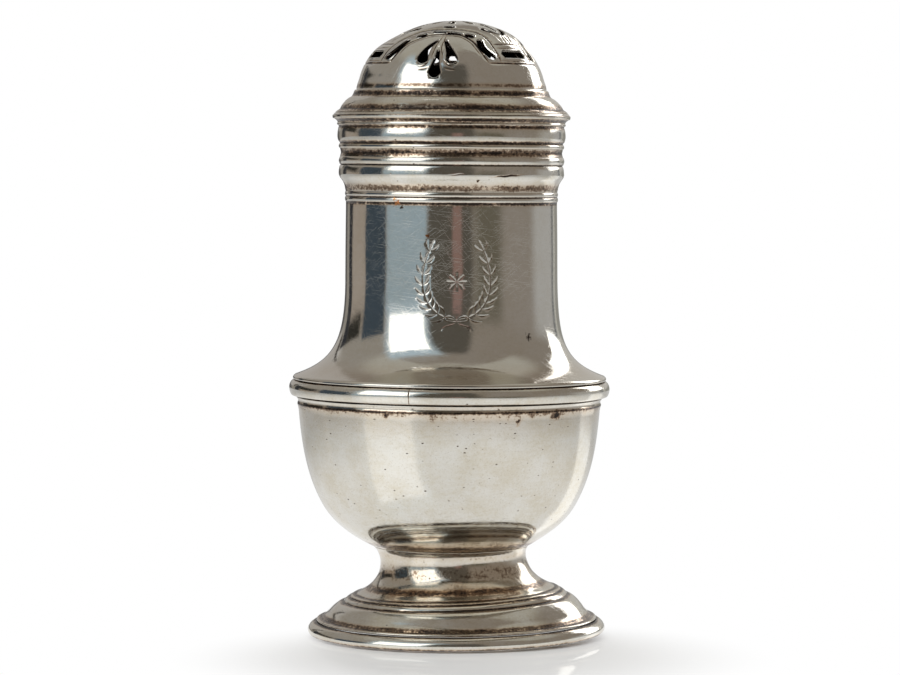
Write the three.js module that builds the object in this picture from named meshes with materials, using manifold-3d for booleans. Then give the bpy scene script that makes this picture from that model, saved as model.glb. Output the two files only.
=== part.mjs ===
import * as THREE from 'three';
import { mergeVertices } from 'three/addons/utils/BufferGeometryUtils.js';
import Module from 'manifold-3d';

// Spice caster in silver: a vase-shaped body on a spreading foot, with a pierced domed cover that pulls off.
// Millimetres, +Z up. The foot stands on z = 0, the axis is the Z axis and the front looks towards -Y.

const wasm = await Module();
wasm.setup();

// Facets round each turned piece, and from the base of the dome to its crown.
const SEGMENTS = 42;
const DOME_STEPS = 7;

// Thickness of the raised sheet, and of the thinner sheet of the pierced dome.
const WALL = 0.7;
const DOME_WALL = 0.65;

// Foot: a half-round rim wire, a low dome with a stepped edge, and a waisted stem.
const RIM_HEIGHT = 2.1;
const RIM_RADIUS = 23.0;
const RIM_WIDTH = 2.0;
const RIM_ROUNDING = 1.0;
const FOOT_RISE = 4.1;
const FOOT_EDGE_SETBACK = 1.3;
const FOOT_EDGE_HEIGHT = 0.65;
const FOOT_EDGE_WIDTH = 1.4;
const FOOT_TOP_LEDGE = 0.2;
const STEM_HEIGHT = 6.8;
const STEM_FOOT_RADIUS = 16.4;
const STEM_TOP_RADIUS = 12.0;
const STEM_PINCH = 3.5;

// Body: a round bowl, a girdle wire with a butt joint, and a flaring upper body that runs up into a neck.
const BOWL_HEIGHT = 23.75;
const BOWL_RADIUS = 23.3;
const BOWL_BASE_DROP = 2.9;
const BOWL_LIP_DEPTH = 0.3;
const BOWL_LIP_HEIGHT = 1.05;
const GIRDLE_HEIGHT = 2.65;
const GIRDLE_DEPTH = 0.6;
const GIRDLE_GAP = 0.15;
const GIRDLE_GAP_ANGLE = -15;
const BODY_HEIGHT = 29.6;
const FLARE_HEIGHT = 16;
const FLARE_OVERHANG = 1.0;
const FLARE_LIP = 0.45;
const NECK_RADIUS = 16.4;
const NECK_RISE = 6.3;
const NECK_WIRE_HEIGHT = 3.8;
const NECK_WIRE_DEPTH = 1.0;
const LINE_DROP = 1.03;
const LINE_SPACING = 0.88;
const LINE_WIDTH = 0.3;
const LINE_DEPTH = 0.13;

// Cover: a sleeve that slides on the neck, two bands round it, a sharp flange, a stepped shoulder and the dome.
const SEAT_GAP = 0.05;
const FIT_GAP = 0.1;
const SLEEVE_HEIGHT = 5.85;
const SLEEVE_WALL = 0.7;
const EDGE_WIRE_HEIGHT = 1.2;
const EDGE_WIRE_DEPTH = 0.22;
const BAND_HEIGHT = 3.4;
const BAND_DEPTH = 0.4;
const FLANGE_HEIGHT = 2.1;
const FLANGE_DEPTH = 1.3;
const SHOULDER_HEIGHT = 3.5;
const SHOULDER_WALL = 0.9;
const DOME_SETBACK = 1.85;
const DOME_HEIGHT = 10.7;

// Pierced pattern: three lobes round the dome, the first turned a little to the viewer's left.
const LOBES = 3;
const LOBE_TURN = -9.8;

// Heights of the joints between the pieces, each stacked on the one below.
const Z_FOOT = RIM_HEIGHT + FOOT_RISE;
const Z_STEM = Z_FOOT + STEM_HEIGHT;
const Z_BOWL = Z_STEM + BOWL_HEIGHT;
const Z_GIRDLE = Z_BOWL + GIRDLE_HEIGHT;
const Z_NECK_WIRE = Z_GIRDLE + BODY_HEIGHT;
const Z_STOP = Z_NECK_WIRE + NECK_WIRE_HEIGHT;
const Z_COVER = Z_STOP + SEAT_GAP;
const Z_FLANGE = Z_COVER + SLEEVE_HEIGHT;
const Z_SHOULDER = Z_FLANGE + FLANGE_HEIGHT;
const Z_DOME = Z_SHOULDER + SHOULDER_HEIGHT;

// Radii that follow from those of the piece below or within.
const RIM_INNER_RADIUS = RIM_RADIUS - RIM_WIDTH;
const RIM_FLAT_RADIUS = RIM_RADIUS - RIM_ROUNDING;
const FOOT_EDGE_RADIUS = RIM_RADIUS - FOOT_EDGE_SETBACK;
const FOOT_CROWN_RADIUS = FOOT_EDGE_RADIUS - FOOT_EDGE_WIDTH;
const FOOT_TOP_RADIUS = STEM_FOOT_RADIUS + FOOT_TOP_LEDGE;
const BOWL_LIP_RADIUS = BOWL_RADIUS + BOWL_LIP_DEPTH;
const FLARE_RADIUS = BOWL_RADIUS + FLARE_OVERHANG;
const GIRDLE_RADIUS = FLARE_RADIUS + GIRDLE_DEPTH;
const BODY_INNER_RADIUS = BOWL_RADIUS - WALL;
const NECK_WIRE_RADIUS = NECK_RADIUS + NECK_WIRE_DEPTH;
const SLEEVE_INNER_RADIUS = NECK_RADIUS + FIT_GAP;
const SLEEVE_RADIUS = SLEEVE_INNER_RADIUS + SLEEVE_WALL;
const FLANGE_RADIUS = SLEEVE_RADIUS + FLANGE_DEPTH;
const DOME_RADIUS = SLEEVE_INNER_RADIUS - DOME_SETBACK;

const radians = THREE.MathUtils.degToRad;

function points(pairs) {
  return pairs.map(([r, z]) => new THREE.Vector2(r, z));
}

function bezier(a, b, c, d, steps) {
  const [p0, p1, p2, p3] = points([a, b, c, d]);
  return new THREE.CubicBezierCurve(p0, p1, p2, p3).getPoints(steps);
}

// Moves each point of an upward profile towards the inside of the wall.
function inset(profile, depth) {
  return profile.map((p, i) => {
    const before = profile[Math.max(i - 1, 0)];
    const after = profile[Math.min(i + 1, profile.length - 1)];
    const along = after.clone().sub(before).normalize();
    return new THREE.Vector2(p.x - along.y * depth, p.y + along.x * depth);
  });
}

// Turns a profile into a solid about the Z axis: up the outside, then down the inside.
function turned(profile) {
  const closed = profile[0].x > 0 || profile[profile.length - 1].x > 0;
  const loop = closed ? [...profile, profile[0].clone()] : profile;
  return new THREE.LatheGeometry(loop, SEGMENTS).rotateX(Math.PI / 2);
}

function toManifold(geometry) {
  const bare = geometry.clone();
  bare.deleteAttribute('normal');
  bare.deleteAttribute('uv');
  const merged = mergeVertices(bare, 1e-4);
  const index = merged.index.array;
  const triangles = [];
  for (let i = 0; i < index.length; i += 3) {
    const [a, b, c] = [index[i], index[i + 1], index[i + 2]];
    if (a !== b && b !== c && c !== a) triangles.push(a, b, c);
  }
  const mesh = new wasm.Mesh({
    numProp: 3,
    vertProperties: new Float32Array(merged.attributes.position.array),
    triVerts: new Uint32Array(triangles),
  });
  return new wasm.Manifold(mesh);
}

function fromManifold(solid) {
  const mesh = solid.getMesh();
  const geometry = new THREE.BufferGeometry();
  geometry.setAttribute('position', new THREE.BufferAttribute(mesh.vertProperties, 3));
  geometry.setIndex(new THREE.BufferAttribute(mesh.triVerts, 1));
  return geometry;
}

// Foot

function footRimWire() {
  const side = bezier(
    [RIM_FLAT_RADIUS, 0],
    [RIM_RADIUS + 0.33, 0],
    [RIM_RADIUS + 0.33, RIM_HEIGHT * 0.6],
    [RIM_FLAT_RADIUS + 0.2, RIM_HEIGHT],
    5,
  );
  return turned([...side, ...points([[RIM_INNER_RADIUS, RIM_HEIGHT], [RIM_INNER_RADIUS, 0]])]);
}

function footDome() {
  const shelf = RIM_HEIGHT + FOOT_EDGE_HEIGHT;
  const swell = bezier(
    [FOOT_CROWN_RADIUS, shelf + 0.6],
    [FOOT_CROWN_RADIUS - 0.9, RIM_HEIGHT + FOOT_RISE * 0.45],
    [FOOT_TOP_RADIUS + 1.8, RIM_HEIGHT + FOOT_RISE * 0.77],
    [FOOT_TOP_RADIUS + 0.8, RIM_HEIGHT + FOOT_RISE * 0.9],
    3,
  );
  const outside = [
    ...points([
      [FOOT_EDGE_RADIUS, RIM_HEIGHT],
      [FOOT_EDGE_RADIUS, RIM_HEIGHT + FOOT_EDGE_HEIGHT * 0.6],
      [FOOT_EDGE_RADIUS - 0.3, shelf],
      [FOOT_CROWN_RADIUS + 0.3, shelf + 0.15],
    ]),
    ...swell,
    ...points([[FOOT_TOP_RADIUS, Z_FOOT]]),
  ];
  const inside = inset([...swell], WALL).reverse();
  const innerTop = STEM_FOOT_RADIUS - WALL * 1.8;
  return turned([
    ...outside,
    ...points([[innerTop, Z_FOOT], [innerTop, Z_FOOT - WALL * 0.8]]),
    ...inside,
    ...points([[RIM_INNER_RADIUS - 0.6, RIM_HEIGHT + 0.15], [RIM_INNER_RADIUS - 0.4, RIM_HEIGHT]]),
  ]);
}

// The seat under the bowl, on which the stem is soldered.
function bowlSeat() {
  return points([[STEM_TOP_RADIUS - WALL - 0.15, Z_STEM - 0.55], [STEM_TOP_RADIUS, Z_STEM]]);
}

function footStem() {
  const bead = points([
    [STEM_FOOT_RADIUS - 0.1, Z_FOOT],
    [STEM_FOOT_RADIUS, Z_FOOT + 0.35],
    [STEM_FOOT_RADIUS - 0.45, Z_FOOT + 0.75],
  ]);
  const waist = bezier(
    [STEM_FOOT_RADIUS - 1.1, Z_FOOT + 0.9],
    [STEM_TOP_RADIUS - 0.3, Z_FOOT + 1.6],
    [STEM_TOP_RADIUS - STEM_PINCH * 0.6, Z_FOOT + STEM_HEIGHT * 0.72],
    [STEM_TOP_RADIUS, Z_STEM],
    6,
  );
  const [seatIn] = bowlSeat();
  const inside = inset(waist, WALL).slice(0, -2).reverse();
  const innerFoot = STEM_FOOT_RADIUS - WALL * 1.8;
  return turned([...bead, ...waist, seatIn, ...inside, ...points([[innerFoot, Z_FOOT]])]);
}

// Body

function bowlSide() {
  const span = BOWL_HEIGHT - BOWL_LIP_HEIGHT;
  return bezier(
    [STEM_TOP_RADIUS, Z_STEM],
    [STEM_TOP_RADIUS + (BOWL_RADIUS - STEM_TOP_RADIUS) * 0.7, Z_STEM + span * 0.18],
    [BOWL_RADIUS - 0.8, Z_STEM + span * 0.52],
    [BOWL_RADIUS, Z_STEM + span],
    7,
  );
}

function bowl() {
  const [seatIn] = bowlSeat();
  const base = bezier(
    [0, Z_STEM - BOWL_BASE_DROP],
    [STEM_TOP_RADIUS * 0.4, Z_STEM - BOWL_BASE_DROP],
    [STEM_TOP_RADIUS * 0.7, seatIn.y - 1],
    [seatIn.x, seatIn.y],
    2,
  );
  const outside = [...base, ...bowlSide()];
  const inside = inset(outside, WALL);
  inside[0].x = 0;
  inside[inside.length - 1].set(BODY_INNER_RADIUS, Z_BOWL - BOWL_LIP_HEIGHT);
  const lip = points([
    [BOWL_LIP_RADIUS, Z_BOWL - BOWL_LIP_HEIGHT * 0.65],
    [BOWL_LIP_RADIUS, Z_BOWL - BOWL_LIP_HEIGHT * 0.3],
    [BOWL_LIP_RADIUS - 0.2, Z_BOWL],
    [BODY_INNER_RADIUS, Z_BOWL],
  ]);
  return turned([...outside, ...lip, ...inside.reverse()]);
}

function girdleWire() {
  const side = bezier(
    [BOWL_LIP_RADIUS - 0.1, Z_BOWL],
    [GIRDLE_RADIUS + 0.35, Z_BOWL + GIRDLE_HEIGHT * 0.4],
    [GIRDLE_RADIUS + 0.45, Z_BOWL + GIRDLE_HEIGHT * 0.8],
    [FLARE_RADIUS, Z_GIRDLE],
    5,
  );
  const ring = turned([
    ...side,
    ...points([[BODY_INNER_RADIUS, Z_GIRDLE], [BODY_INNER_RADIUS, Z_BOWL]]),
  ]);
  const slit = new THREE.BoxGeometry(GIRDLE_GAP, 8, GIRDLE_HEIGHT * 2);
  slit.translate(0, -GIRDLE_RADIUS, Z_BOWL + GIRDLE_HEIGHT / 2);
  slit.rotateZ(radians(GIRDLE_GAP_ANGLE));
  return fromManifold(toManifold(ring).subtract(toManifold(slit)));
}

function incisedLine(z) {
  return points([
    [NECK_RADIUS, z - LINE_WIDTH / 2],
    [NECK_RADIUS - LINE_DEPTH, z],
    [NECK_RADIUS, z + LINE_WIDTH / 2],
  ]);
}

function upperBody() {
  const upperLine = Z_NECK_WIRE - LINE_DROP;
  const flare = bezier(
    [FLARE_RADIUS, Z_GIRDLE + FLARE_LIP],
    [NECK_RADIUS + (FLARE_RADIUS - NECK_RADIUS) * 0.19, Z_GIRDLE + FLARE_HEIGHT * 0.19],
    [NECK_RADIUS, Z_GIRDLE + FLARE_HEIGHT * 0.33],
    [NECK_RADIUS, Z_GIRDLE + FLARE_HEIGHT],
    7,
  );
  const top = Z_STOP + NECK_RISE;
  const inside = inset(flare, WALL).slice(1).reverse();
  return turned([
    ...points([[FLARE_RADIUS - 0.1, Z_GIRDLE]]),
    ...flare,
    ...incisedLine(upperLine - LINE_SPACING),
    ...incisedLine(upperLine),
    ...points([[NECK_RADIUS, top], [NECK_RADIUS - WALL, top]]),
    ...inside,
    ...points([[BODY_INNER_RADIUS - 0.1, Z_GIRDLE]]),
  ]);
}

function neckWire() {
  return turned([
    ...points([[NECK_RADIUS, Z_NECK_WIRE], [NECK_RADIUS + 0.3, Z_NECK_WIRE + NECK_WIRE_HEIGHT * 0.22]]),
    ...bezier(
      [NECK_RADIUS + 0.55, Z_NECK_WIRE + NECK_WIRE_HEIGHT * 0.38],
      [NECK_WIRE_RADIUS, Z_NECK_WIRE + NECK_WIRE_HEIGHT * 0.5],
      [NECK_WIRE_RADIUS + 0.1, Z_NECK_WIRE + NECK_WIRE_HEIGHT * 0.8],
      [NECK_WIRE_RADIUS - 0.2, Z_STOP],
      3,
    ),
    ...points([[NECK_RADIUS, Z_STOP]]),
  ]);
}

// Cover

function coverSleeve() {
  return turned(points([
    [SLEEVE_RADIUS, Z_COVER],
    [SLEEVE_RADIUS, Z_FLANGE],
    [SLEEVE_INNER_RADIUS, Z_FLANGE],
    [SLEEVE_INNER_RADIUS, Z_COVER],
  ]));
}

function sleeveEdgeWire() {
  const out = SLEEVE_RADIUS + EDGE_WIRE_DEPTH;
  return turned(points([
    [SLEEVE_RADIUS, Z_COVER],
    [out - 0.1, Z_COVER],
    [out - 0.02, Z_COVER + EDGE_WIRE_HEIGHT * 0.25],
    [out, Z_COVER + EDGE_WIRE_HEIGHT * 0.5],
    [out - 0.05, Z_COVER + EDGE_WIRE_HEIGHT * 0.8],
    [SLEEVE_RADIUS + 0.05, Z_COVER + EDGE_WIRE_HEIGHT],
    [SLEEVE_RADIUS, Z_COVER + EDGE_WIRE_HEIGHT],
  ]));
}

function sleeveBand() {
  const out = SLEEVE_RADIUS + BAND_DEPTH;
  const bottom = Z_FLANGE - BAND_HEIGHT;
  return turned(points([
    [SLEEVE_RADIUS, bottom],
    [out - 0.3, bottom],
    [out - 0.22, bottom + BAND_HEIGHT * 0.1],
    [out - 0.33, bottom + BAND_HEIGHT * 0.22],
    [out - 0.2, bottom + BAND_HEIGHT * 0.32],
    [out, bottom + BAND_HEIGHT * 0.65],
    [out - 0.08, Z_FLANGE],
    [SLEEVE_RADIUS, Z_FLANGE],
  ]));
}

function flangeWire() {
  const out = SLEEVE_RADIUS + BAND_DEPTH;
  return turned(points([
    [out, Z_FLANGE],
    [out + 0.05, Z_FLANGE + FLANGE_HEIGHT * 0.3],
    [FLANGE_RADIUS - 0.4, Z_FLANGE + FLANGE_HEIGHT * 0.55],
    [FLANGE_RADIUS, Z_FLANGE + FLANGE_HEIGHT * 0.72],
    [FLANGE_RADIUS - 0.05, Z_FLANGE + FLANGE_HEIGHT * 0.85],
    [FLANGE_RADIUS - 0.4, Z_SHOULDER],
    [SLEEVE_INNER_RADIUS, Z_SHOULDER],
    [SLEEVE_INNER_RADIUS, Z_FLANGE],
  ]));
}

function coverShoulder() {
  const base = FLANGE_RADIUS - 0.5;
  const reach = base - DOME_RADIUS;
  const h = SHOULDER_HEIGHT;
  const inner = DOME_RADIUS - DOME_WALL;
  return turned(points([
    [base, Z_SHOULDER],
    [base - reach * 0.19, Z_SHOULDER + h * 0.14],
    [base - reach * 0.38, Z_SHOULDER + h * 0.38],
    [base - reach * 0.51, Z_SHOULDER + h * 0.5],
    [base - reach * 0.73, Z_SHOULDER + h * 0.67],
    [base - reach * 0.85, Z_SHOULDER + h * 0.83],
    [DOME_RADIUS + 0.25, Z_DOME],
    [inner, Z_DOME],
    [inner, Z_DOME - h * 0.2],
    [inner + reach * 0.2, Z_DOME - h * 0.5],
    [base - SHOULDER_WALL - reach * 0.3, Z_SHOULDER + h * 0.1],
    [base - SHOULDER_WALL - reach * 0.15, Z_SHOULDER],
  ]));
}

// A direction from the middle of the dome: degrees to the right of the front, and degrees up.
function direction([azimuth, rise]) {
  const az = radians(azimuth);
  const up = radians(rise);
  return new THREE.Vector3(Math.cos(up) * Math.sin(az), -Math.cos(up) * Math.cos(az), Math.sin(up));
}

// A hole with round ends and straight sides from one direction to another, each end with its half width in mm.
function slot(from, to, fromHalf, toHalf) {
  const p = direction(from);
  const q = direction(to);
  const along = q.clone().sub(p).normalize();
  const side = new THREE.Vector3().crossVectors(p, along).normalize();
  const outline = [];
  for (const [end, half, start] of [[p, fromHalf, 90], [q, toHalf, 270]]) {
    const steps = half > 0.6 ? 4 : 2;
    for (let step = 0; step <= steps; step += 1) {
      const turn = radians(start + step * 180 / steps);
      const offset = side.clone().multiplyScalar(Math.sin(turn));
      offset.addScaledVector(along, Math.cos(turn)).multiplyScalar(half / DOME_RADIUS);
      outline.push(end.clone().add(offset).normalize());
    }
  }
  return outline;
}

// A hole bounded by two parallels of the dome.
function window(azimuthFrom, azimuthTo, riseFrom, riseTo) {
  const middle = (azimuthFrom + azimuthTo) / 2;
  return [
    [azimuthFrom, riseFrom],
    [middle, riseFrom],
    [azimuthTo, riseFrom],
    [azimuthTo, riseTo],
    [middle, riseTo],
    [azimuthFrom, riseTo],
  ].map(direction);
}

// The cutter of one hole, its sides pointing to the middle of the dome.
function cutter(outline) {
  const count = outline.length;
  const shape = (scale) => outline.map((v) => [
    v.x * scale * DOME_RADIUS,
    v.y * scale * DOME_RADIUS,
    Z_DOME + v.z * scale * DOME_HEIGHT,
  ]);
  const corners = [...shape(0.85), ...shape(1.12)];
  const middles = [0, count].map((first) => [0, 1, 2].map((axis) => (
    corners.slice(first, first + count).reduce((sum, corner) => sum + corner[axis] / count, 0)
  )));
  const triangles = [];
  for (let i = 0; i < count; i += 1) {
    const j = (i + 1) % count;
    triangles.push(i, j, count + j, i, count + j, count + i);
    triangles.push(2 * count, j, i, 2 * count + 1, count + i, count + j);
  }
  const geometry = new THREE.BufferGeometry();
  geometry.setAttribute('position', new THREE.Float32BufferAttribute([...corners, ...middles].flat(), 3));
  geometry.setIndex(triangles);
  const solid = toManifold(geometry);
  return solid.volume() > 0 ? solid : toManifold(flipped(geometry));
}

function flipped(geometry) {
  const index = geometry.index.array;
  const turnedOver = [];
  for (let i = 0; i < index.length; i += 3) turnedOver.push(index[i], index[i + 2], index[i + 1]);
  return geometry.clone().setIndex(turnedOver);
}

// The holes of one lobe, with its middle at azimuth zero, of the panel to its right and of the crown above.
function lobeHoles() {
  const paired = [-1, 1].flatMap((s) => [
    slot([s * 3.6, 42], [s * 9.9, 25], 0.22, 0.85),
    slot([s * 32, 42.5], [s * 38.9, 27.5], 0.48, 0.55),
    slot([s * 21.8, 50.2], [s * 25, 49.2], 0.42, 0.42),
    slot([60 + s * 2.6, 52.5], [60 + s * 15.5, 59.5], 0.2, 0.5),
  ]);
  const rosette = [-40, 0, 40].map((azimuth) => slot([azimuth - 7, 76.5], [azimuth + 7, 76.5], 0.35, 0.35));
  return [
    ...paired,
    ...rosette,
    slot([0, 32], [0, 13.3], 0.2, 0.92),
    slot([-12, 53.5], [12, 53.5], 0.3, 0.3),
    slot([-3, 63], [3, 63], 0.4, 0.4),
    slot([60, 56.5], [60, 68.5], 0.22, 0.5),
    window(49.5, 70.5, 27.5, 33.3),
  ];
}

function coverDome() {
  const outer = [];
  const inner = [];
  for (let step = 0; step <= DOME_STEPS; step += 1) {
    const up = radians(step * 90 / DOME_STEPS);
    const across = step < DOME_STEPS ? Math.cos(up) : 0;
    outer.push([DOME_RADIUS * across, Z_DOME + DOME_HEIGHT * Math.sin(up)]);
    inner.unshift([
      (DOME_RADIUS - DOME_WALL) * across,
      Z_DOME + (DOME_HEIGHT - DOME_WALL) * Math.sin(up),
    ]);
  }
  const shell = new THREE.LatheGeometry(points([...outer, ...inner, outer[0]]), SEGMENTS);
  const cutters = [];
  for (let lobe = 0; lobe < LOBES; lobe += 1) {
    const turn = radians(LOBE_TURN + lobe * 360 / LOBES);
    const axis = new THREE.Vector3(0, 0, 1);
    for (const hole of lobeHoles()) {
      cutters.push(cutter(hole.map((v) => v.clone().applyAxisAngle(axis, turn))));
    }
  }
  const solid = toManifold(shell.rotateX(Math.PI / 2));
  return fromManifold(solid.subtract(wasm.Manifold.union(cutters)));
}

const caster = new THREE.Group();

function add(parent, name, geometry, color, roughness) {
  const material = new THREE.MeshStandardMaterial({ color, roughness, metalness: 1 });
  const mesh = new THREE.Mesh(geometry, material);
  mesh.name = name;
  parent.add(mesh);
}

const body = new THREE.Group();
add(body, 'foot_rim_wire', footRimWire(), 0xa79d8c, 0.3);
add(body, 'foot_dome', footDome(), 0xa09888, 0.28);
add(body, 'foot_stem', footStem(), 0x9d9382, 0.3);
add(body, 'bowl', bowl(), 0xc4beb2, 0.35);
add(body, 'girdle_wire', girdleWire(), 0xaaa190, 0.3);
add(body, 'upper_body', upperBody(), 0xb2b0ab, 0.16);
add(body, 'neck_wire', neckWire(), 0x9f9482, 0.28);

const cover = new THREE.Group();
add(cover, 'cover_sleeve', coverSleeve(), 0x6b6152, 0.4);
add(cover, 'sleeve_edge_wire', sleeveEdgeWire(), 0x94897a, 0.32);
add(cover, 'sleeve_band', sleeveBand(), 0xa1988a, 0.26);
add(cover, 'cover_flange_wire', flangeWire(), 0xa69e90, 0.28);
add(cover, 'cover_shoulder', coverShoulder(), 0x8f8576, 0.3);
add(cover, 'cover_dome', coverDome(), 0xb4afa5, 0.24);

caster.add(body, cover);

export default caster;
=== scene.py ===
"""Looks of a spice caster in old silver, built round its solids.

Lengths in this file are millimetres until a mesh is made; the scene and its node trees are in metres. The
axis of the caster is the Z axis, its foot stands on z = 0 and its front looks towards -Y. Azimuths run to the
right from the front: degrees in the tables of places, radians in the mesh functions.
"""

import math
from functools import partial

import bpy
import numpy as np
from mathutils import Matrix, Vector
from mathutils.geometry import delaunay_2d_cdt


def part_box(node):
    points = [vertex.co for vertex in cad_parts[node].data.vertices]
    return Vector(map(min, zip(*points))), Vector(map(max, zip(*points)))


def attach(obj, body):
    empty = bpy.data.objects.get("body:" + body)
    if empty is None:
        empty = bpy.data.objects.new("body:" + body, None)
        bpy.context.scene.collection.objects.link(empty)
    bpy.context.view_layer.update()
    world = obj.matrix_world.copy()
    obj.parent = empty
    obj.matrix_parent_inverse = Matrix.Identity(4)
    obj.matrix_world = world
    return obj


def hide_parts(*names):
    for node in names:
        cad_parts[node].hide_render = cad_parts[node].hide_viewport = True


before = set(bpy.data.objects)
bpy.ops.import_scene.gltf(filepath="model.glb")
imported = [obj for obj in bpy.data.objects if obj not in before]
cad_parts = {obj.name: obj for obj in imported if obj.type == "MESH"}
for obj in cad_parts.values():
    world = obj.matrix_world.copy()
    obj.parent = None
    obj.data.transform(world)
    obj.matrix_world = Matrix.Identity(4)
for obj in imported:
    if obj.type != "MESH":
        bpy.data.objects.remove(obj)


def write_size():
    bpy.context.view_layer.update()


def reach(node):
    """Bottom, top and widest radius of a solid of the frame."""
    low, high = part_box(node)
    return low.z * 1000, high.z * 1000, high.x * 1000


write_size()

# Camera: its place and distance, how many degrees it looks down, its lens and its sensor's width
CAMERA_SHIFT = -0.23
CAMERA_DISTANCE = 591.0
CAMERA_HEIGHT = 75.0
CAMERA_PITCH = 2.795
CAMERA_LENS = 153.0
CAMERA_SENSOR = 36.0

# Heights where the pieces meet
RIM_TOP = reach("foot_rim_wire")[1]
FOOT_TOP = reach("foot_dome")[1]
STEM_TOP = reach("foot_stem")[1]
BOWL_TOP = reach("bowl")[1]
GIRDLE_TOP = reach("girdle_wire")[1]
STOP_BASE, STOP_TOP, _ = reach("neck_wire")
NECK_TOP = reach("upper_body")[1]
COVER_BASE, FLANGE_BASE, _ = reach("cover_sleeve")
BAND_BASE = reach("sleeve_band")[0]
SHOULDER_BASE, DOME_BASE, _ = reach("cover_shoulder")

# Radii: the widest of a solid comes from the frame, the others are inside it
RIM_RADIUS = reach("foot_rim_wire")[2]
RIM_INNER = 21.0
STEM_BASE_RADIUS = 16.4
STEM_RADIUS = 12.0
BOWL_RADIUS = 23.3
FLARE_RADIUS = reach("upper_body")[2]
GIRDLE_RADIUS = reach("girdle_wire")[2]
NECK_RADIUS = 16.4
STOP_RADIUS = reach("neck_wire")[2]
SLEEVE_INNER = 16.5
SLEEVE_OUTER = 17.2
FLANGE_RADIUS = reach("cover_flange_wire")[2]
DOME_RADIUS = 14.65

WALL = 0.7
DOME_WALL = 0.65
DOME_HEIGHT = reach("cover_dome")[1] - DOME_BASE
FLARE_TOP = GIRDLE_TOP + 16

# The two reeds under the stop wire: height and half width
REEDS = ((STOP_BASE - 0.68, 0.34), (STOP_BASE - 1.46, 0.4))
# The azimuths of the butt joint in the waist wire and of the middle of the first lobe of the piercing
SEAM_AZIMUTH = -14.2
LOBE_TURN = -9.8
# The window that holds the wreath: how far it is to the right, its height and half its size
WREATH_PLACE = (0.8, 55.2, 8.6)
# A cut this deep is dark all through
ENGRAVED_DARK = 0.08
# The softened edge of a hole: its width and how far down it goes, and how far down painted shade and tarnish
# start
HOLE_EDGE = 0.13
EDGE_DROP = 0.09
SHADE_DROP = 0.17

# The lean that use has left: amounts, each with the heights over which it grows and over which it dies away.
# SHIFTS push the foot, the bowl, the collar under the stem and the crown of the dome to the right, or to the
# left where negative. LIFTS raise the foot, the top of the stem and the waist. TIPS raise the right side of
# the foot, stem, collar and upper body by so much for each mm from the axis, BACK_TIPS the back of the foot.
# BELOW and ABOVE are outside the caster, for an amount that never grows or never dies away.
BELOW, ABOVE = (-2, -1), (200, 201)
FOOT, COLLAR = (BELOW, (7, 12)), ((3.5, 5.5), (7, 9))
SHIFTS = ((0.75, BELOW, (8, 15)), (-0.34, (8, 15), (36, 54)), (-0.12, *COLLAR), (0.75, (90.3, 93.2), ABOVE))
LIFTS = ((0.38, *FOOT), (0.75, (9, 13), (13, 20)), (0.2, (8, 14), (42, 66)))
TIPS = ((0.0075, *FOOT), (0.016, (2.5, 6.5), (8, 13)), (0.012, *COLLAR), (-0.008, (30, 38), ABOVE))
BACK_TIPS = ((0.01, *FOOT),)
# The share of its width that the dome lacks
DOME_SLIMNESS = ((0.018, (DOME_BASE + 0.1, DOME_BASE + 2), ABOVE),)

# How finely the meshes are divided: along a profile, round the axis, and between the cuts of the engraving
STEP = 0.15
COARSE_STEP = 0.5
COLUMNS = 288
FINE_GRID = 0.32
CLEAR_OF_LINES = 0.14
# The same between the cuts and holes of the dome, whose rings are in degrees
DOME_RINGS = 1.3
DOME_GRID = 0.33
CLEAR_ON_DOME = 0.13
# Radius of the dome laid flat
FLAT_RADIUS = 18.0


def linear(code, strength=1.0):
    """Linear colour of an sRGB hex code, times a strength."""
    parts = [int(code[i : i + 2], 16) / 255 for i in (1, 3, 5)]
    light = [c / 12.92 if c <= 0.04045 else ((c + 0.055) / 1.055) ** 2.4 for c in parts]
    return tuple(strength * c for c in light) + (1.0,)


# Lines


def bezier(a, b, c, d, count=40):
    """Points of a cubic curve from a to d with handles b and c."""
    t = np.linspace(0, 1, count)[:, None]
    a, b, c, d = (np.array(p, float) for p in (a, b, c, d))
    return (1 - t) ** 3 * a + 3 * t * (1 - t) ** 2 * b + 3 * t * t * (1 - t) * c + t**3 * d


def rounded(corners, radius=0.12, count=5):
    """A polyline through the corners, each inner corner turned with a small curve of that size."""
    p = np.array(corners, float)
    out = [p[:1]]
    t = np.linspace(0, 1, count)[:, None]
    for before, corner, after in zip(p[:-2], p[1:-1], p[2:]):
        back, ahead = before - corner, after - corner
        lb, la = np.linalg.norm(back), np.linalg.norm(ahead)
        start = corner + back / lb * min(radius, lb * 0.48)
        end = corner + ahead / la * min(radius, la * 0.48)
        out.append((1 - t) ** 2 * start + 2 * t * (1 - t) * corner + t * t * end)
    return np.vstack(out + [p[-1:]])


def smooth_line(points, step=0.25):
    """A Catmull-Rom curve through the points, sampled about every step."""
    p = np.asarray(points, float)
    p = np.vstack([2 * p[0] - p[1], p, 2 * p[-1] - p[-2]])
    out = []
    for a, b, c, d in zip(p[:-3], p[1:-2], p[2:-1], p[3:]):
        n = max(2, int(np.ceil(np.linalg.norm(c - b) / step)))
        t = (np.arange(n) / n)[:, None]
        square, cube = 2 * a - 5 * b + 4 * c - d, 3 * b - a - 3 * c + d
        out.append(0.5 * (2 * b + (c - a) * t + square * t**2 + cube * t**3))
    return np.vstack(out + [p[-2:-1]])


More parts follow.
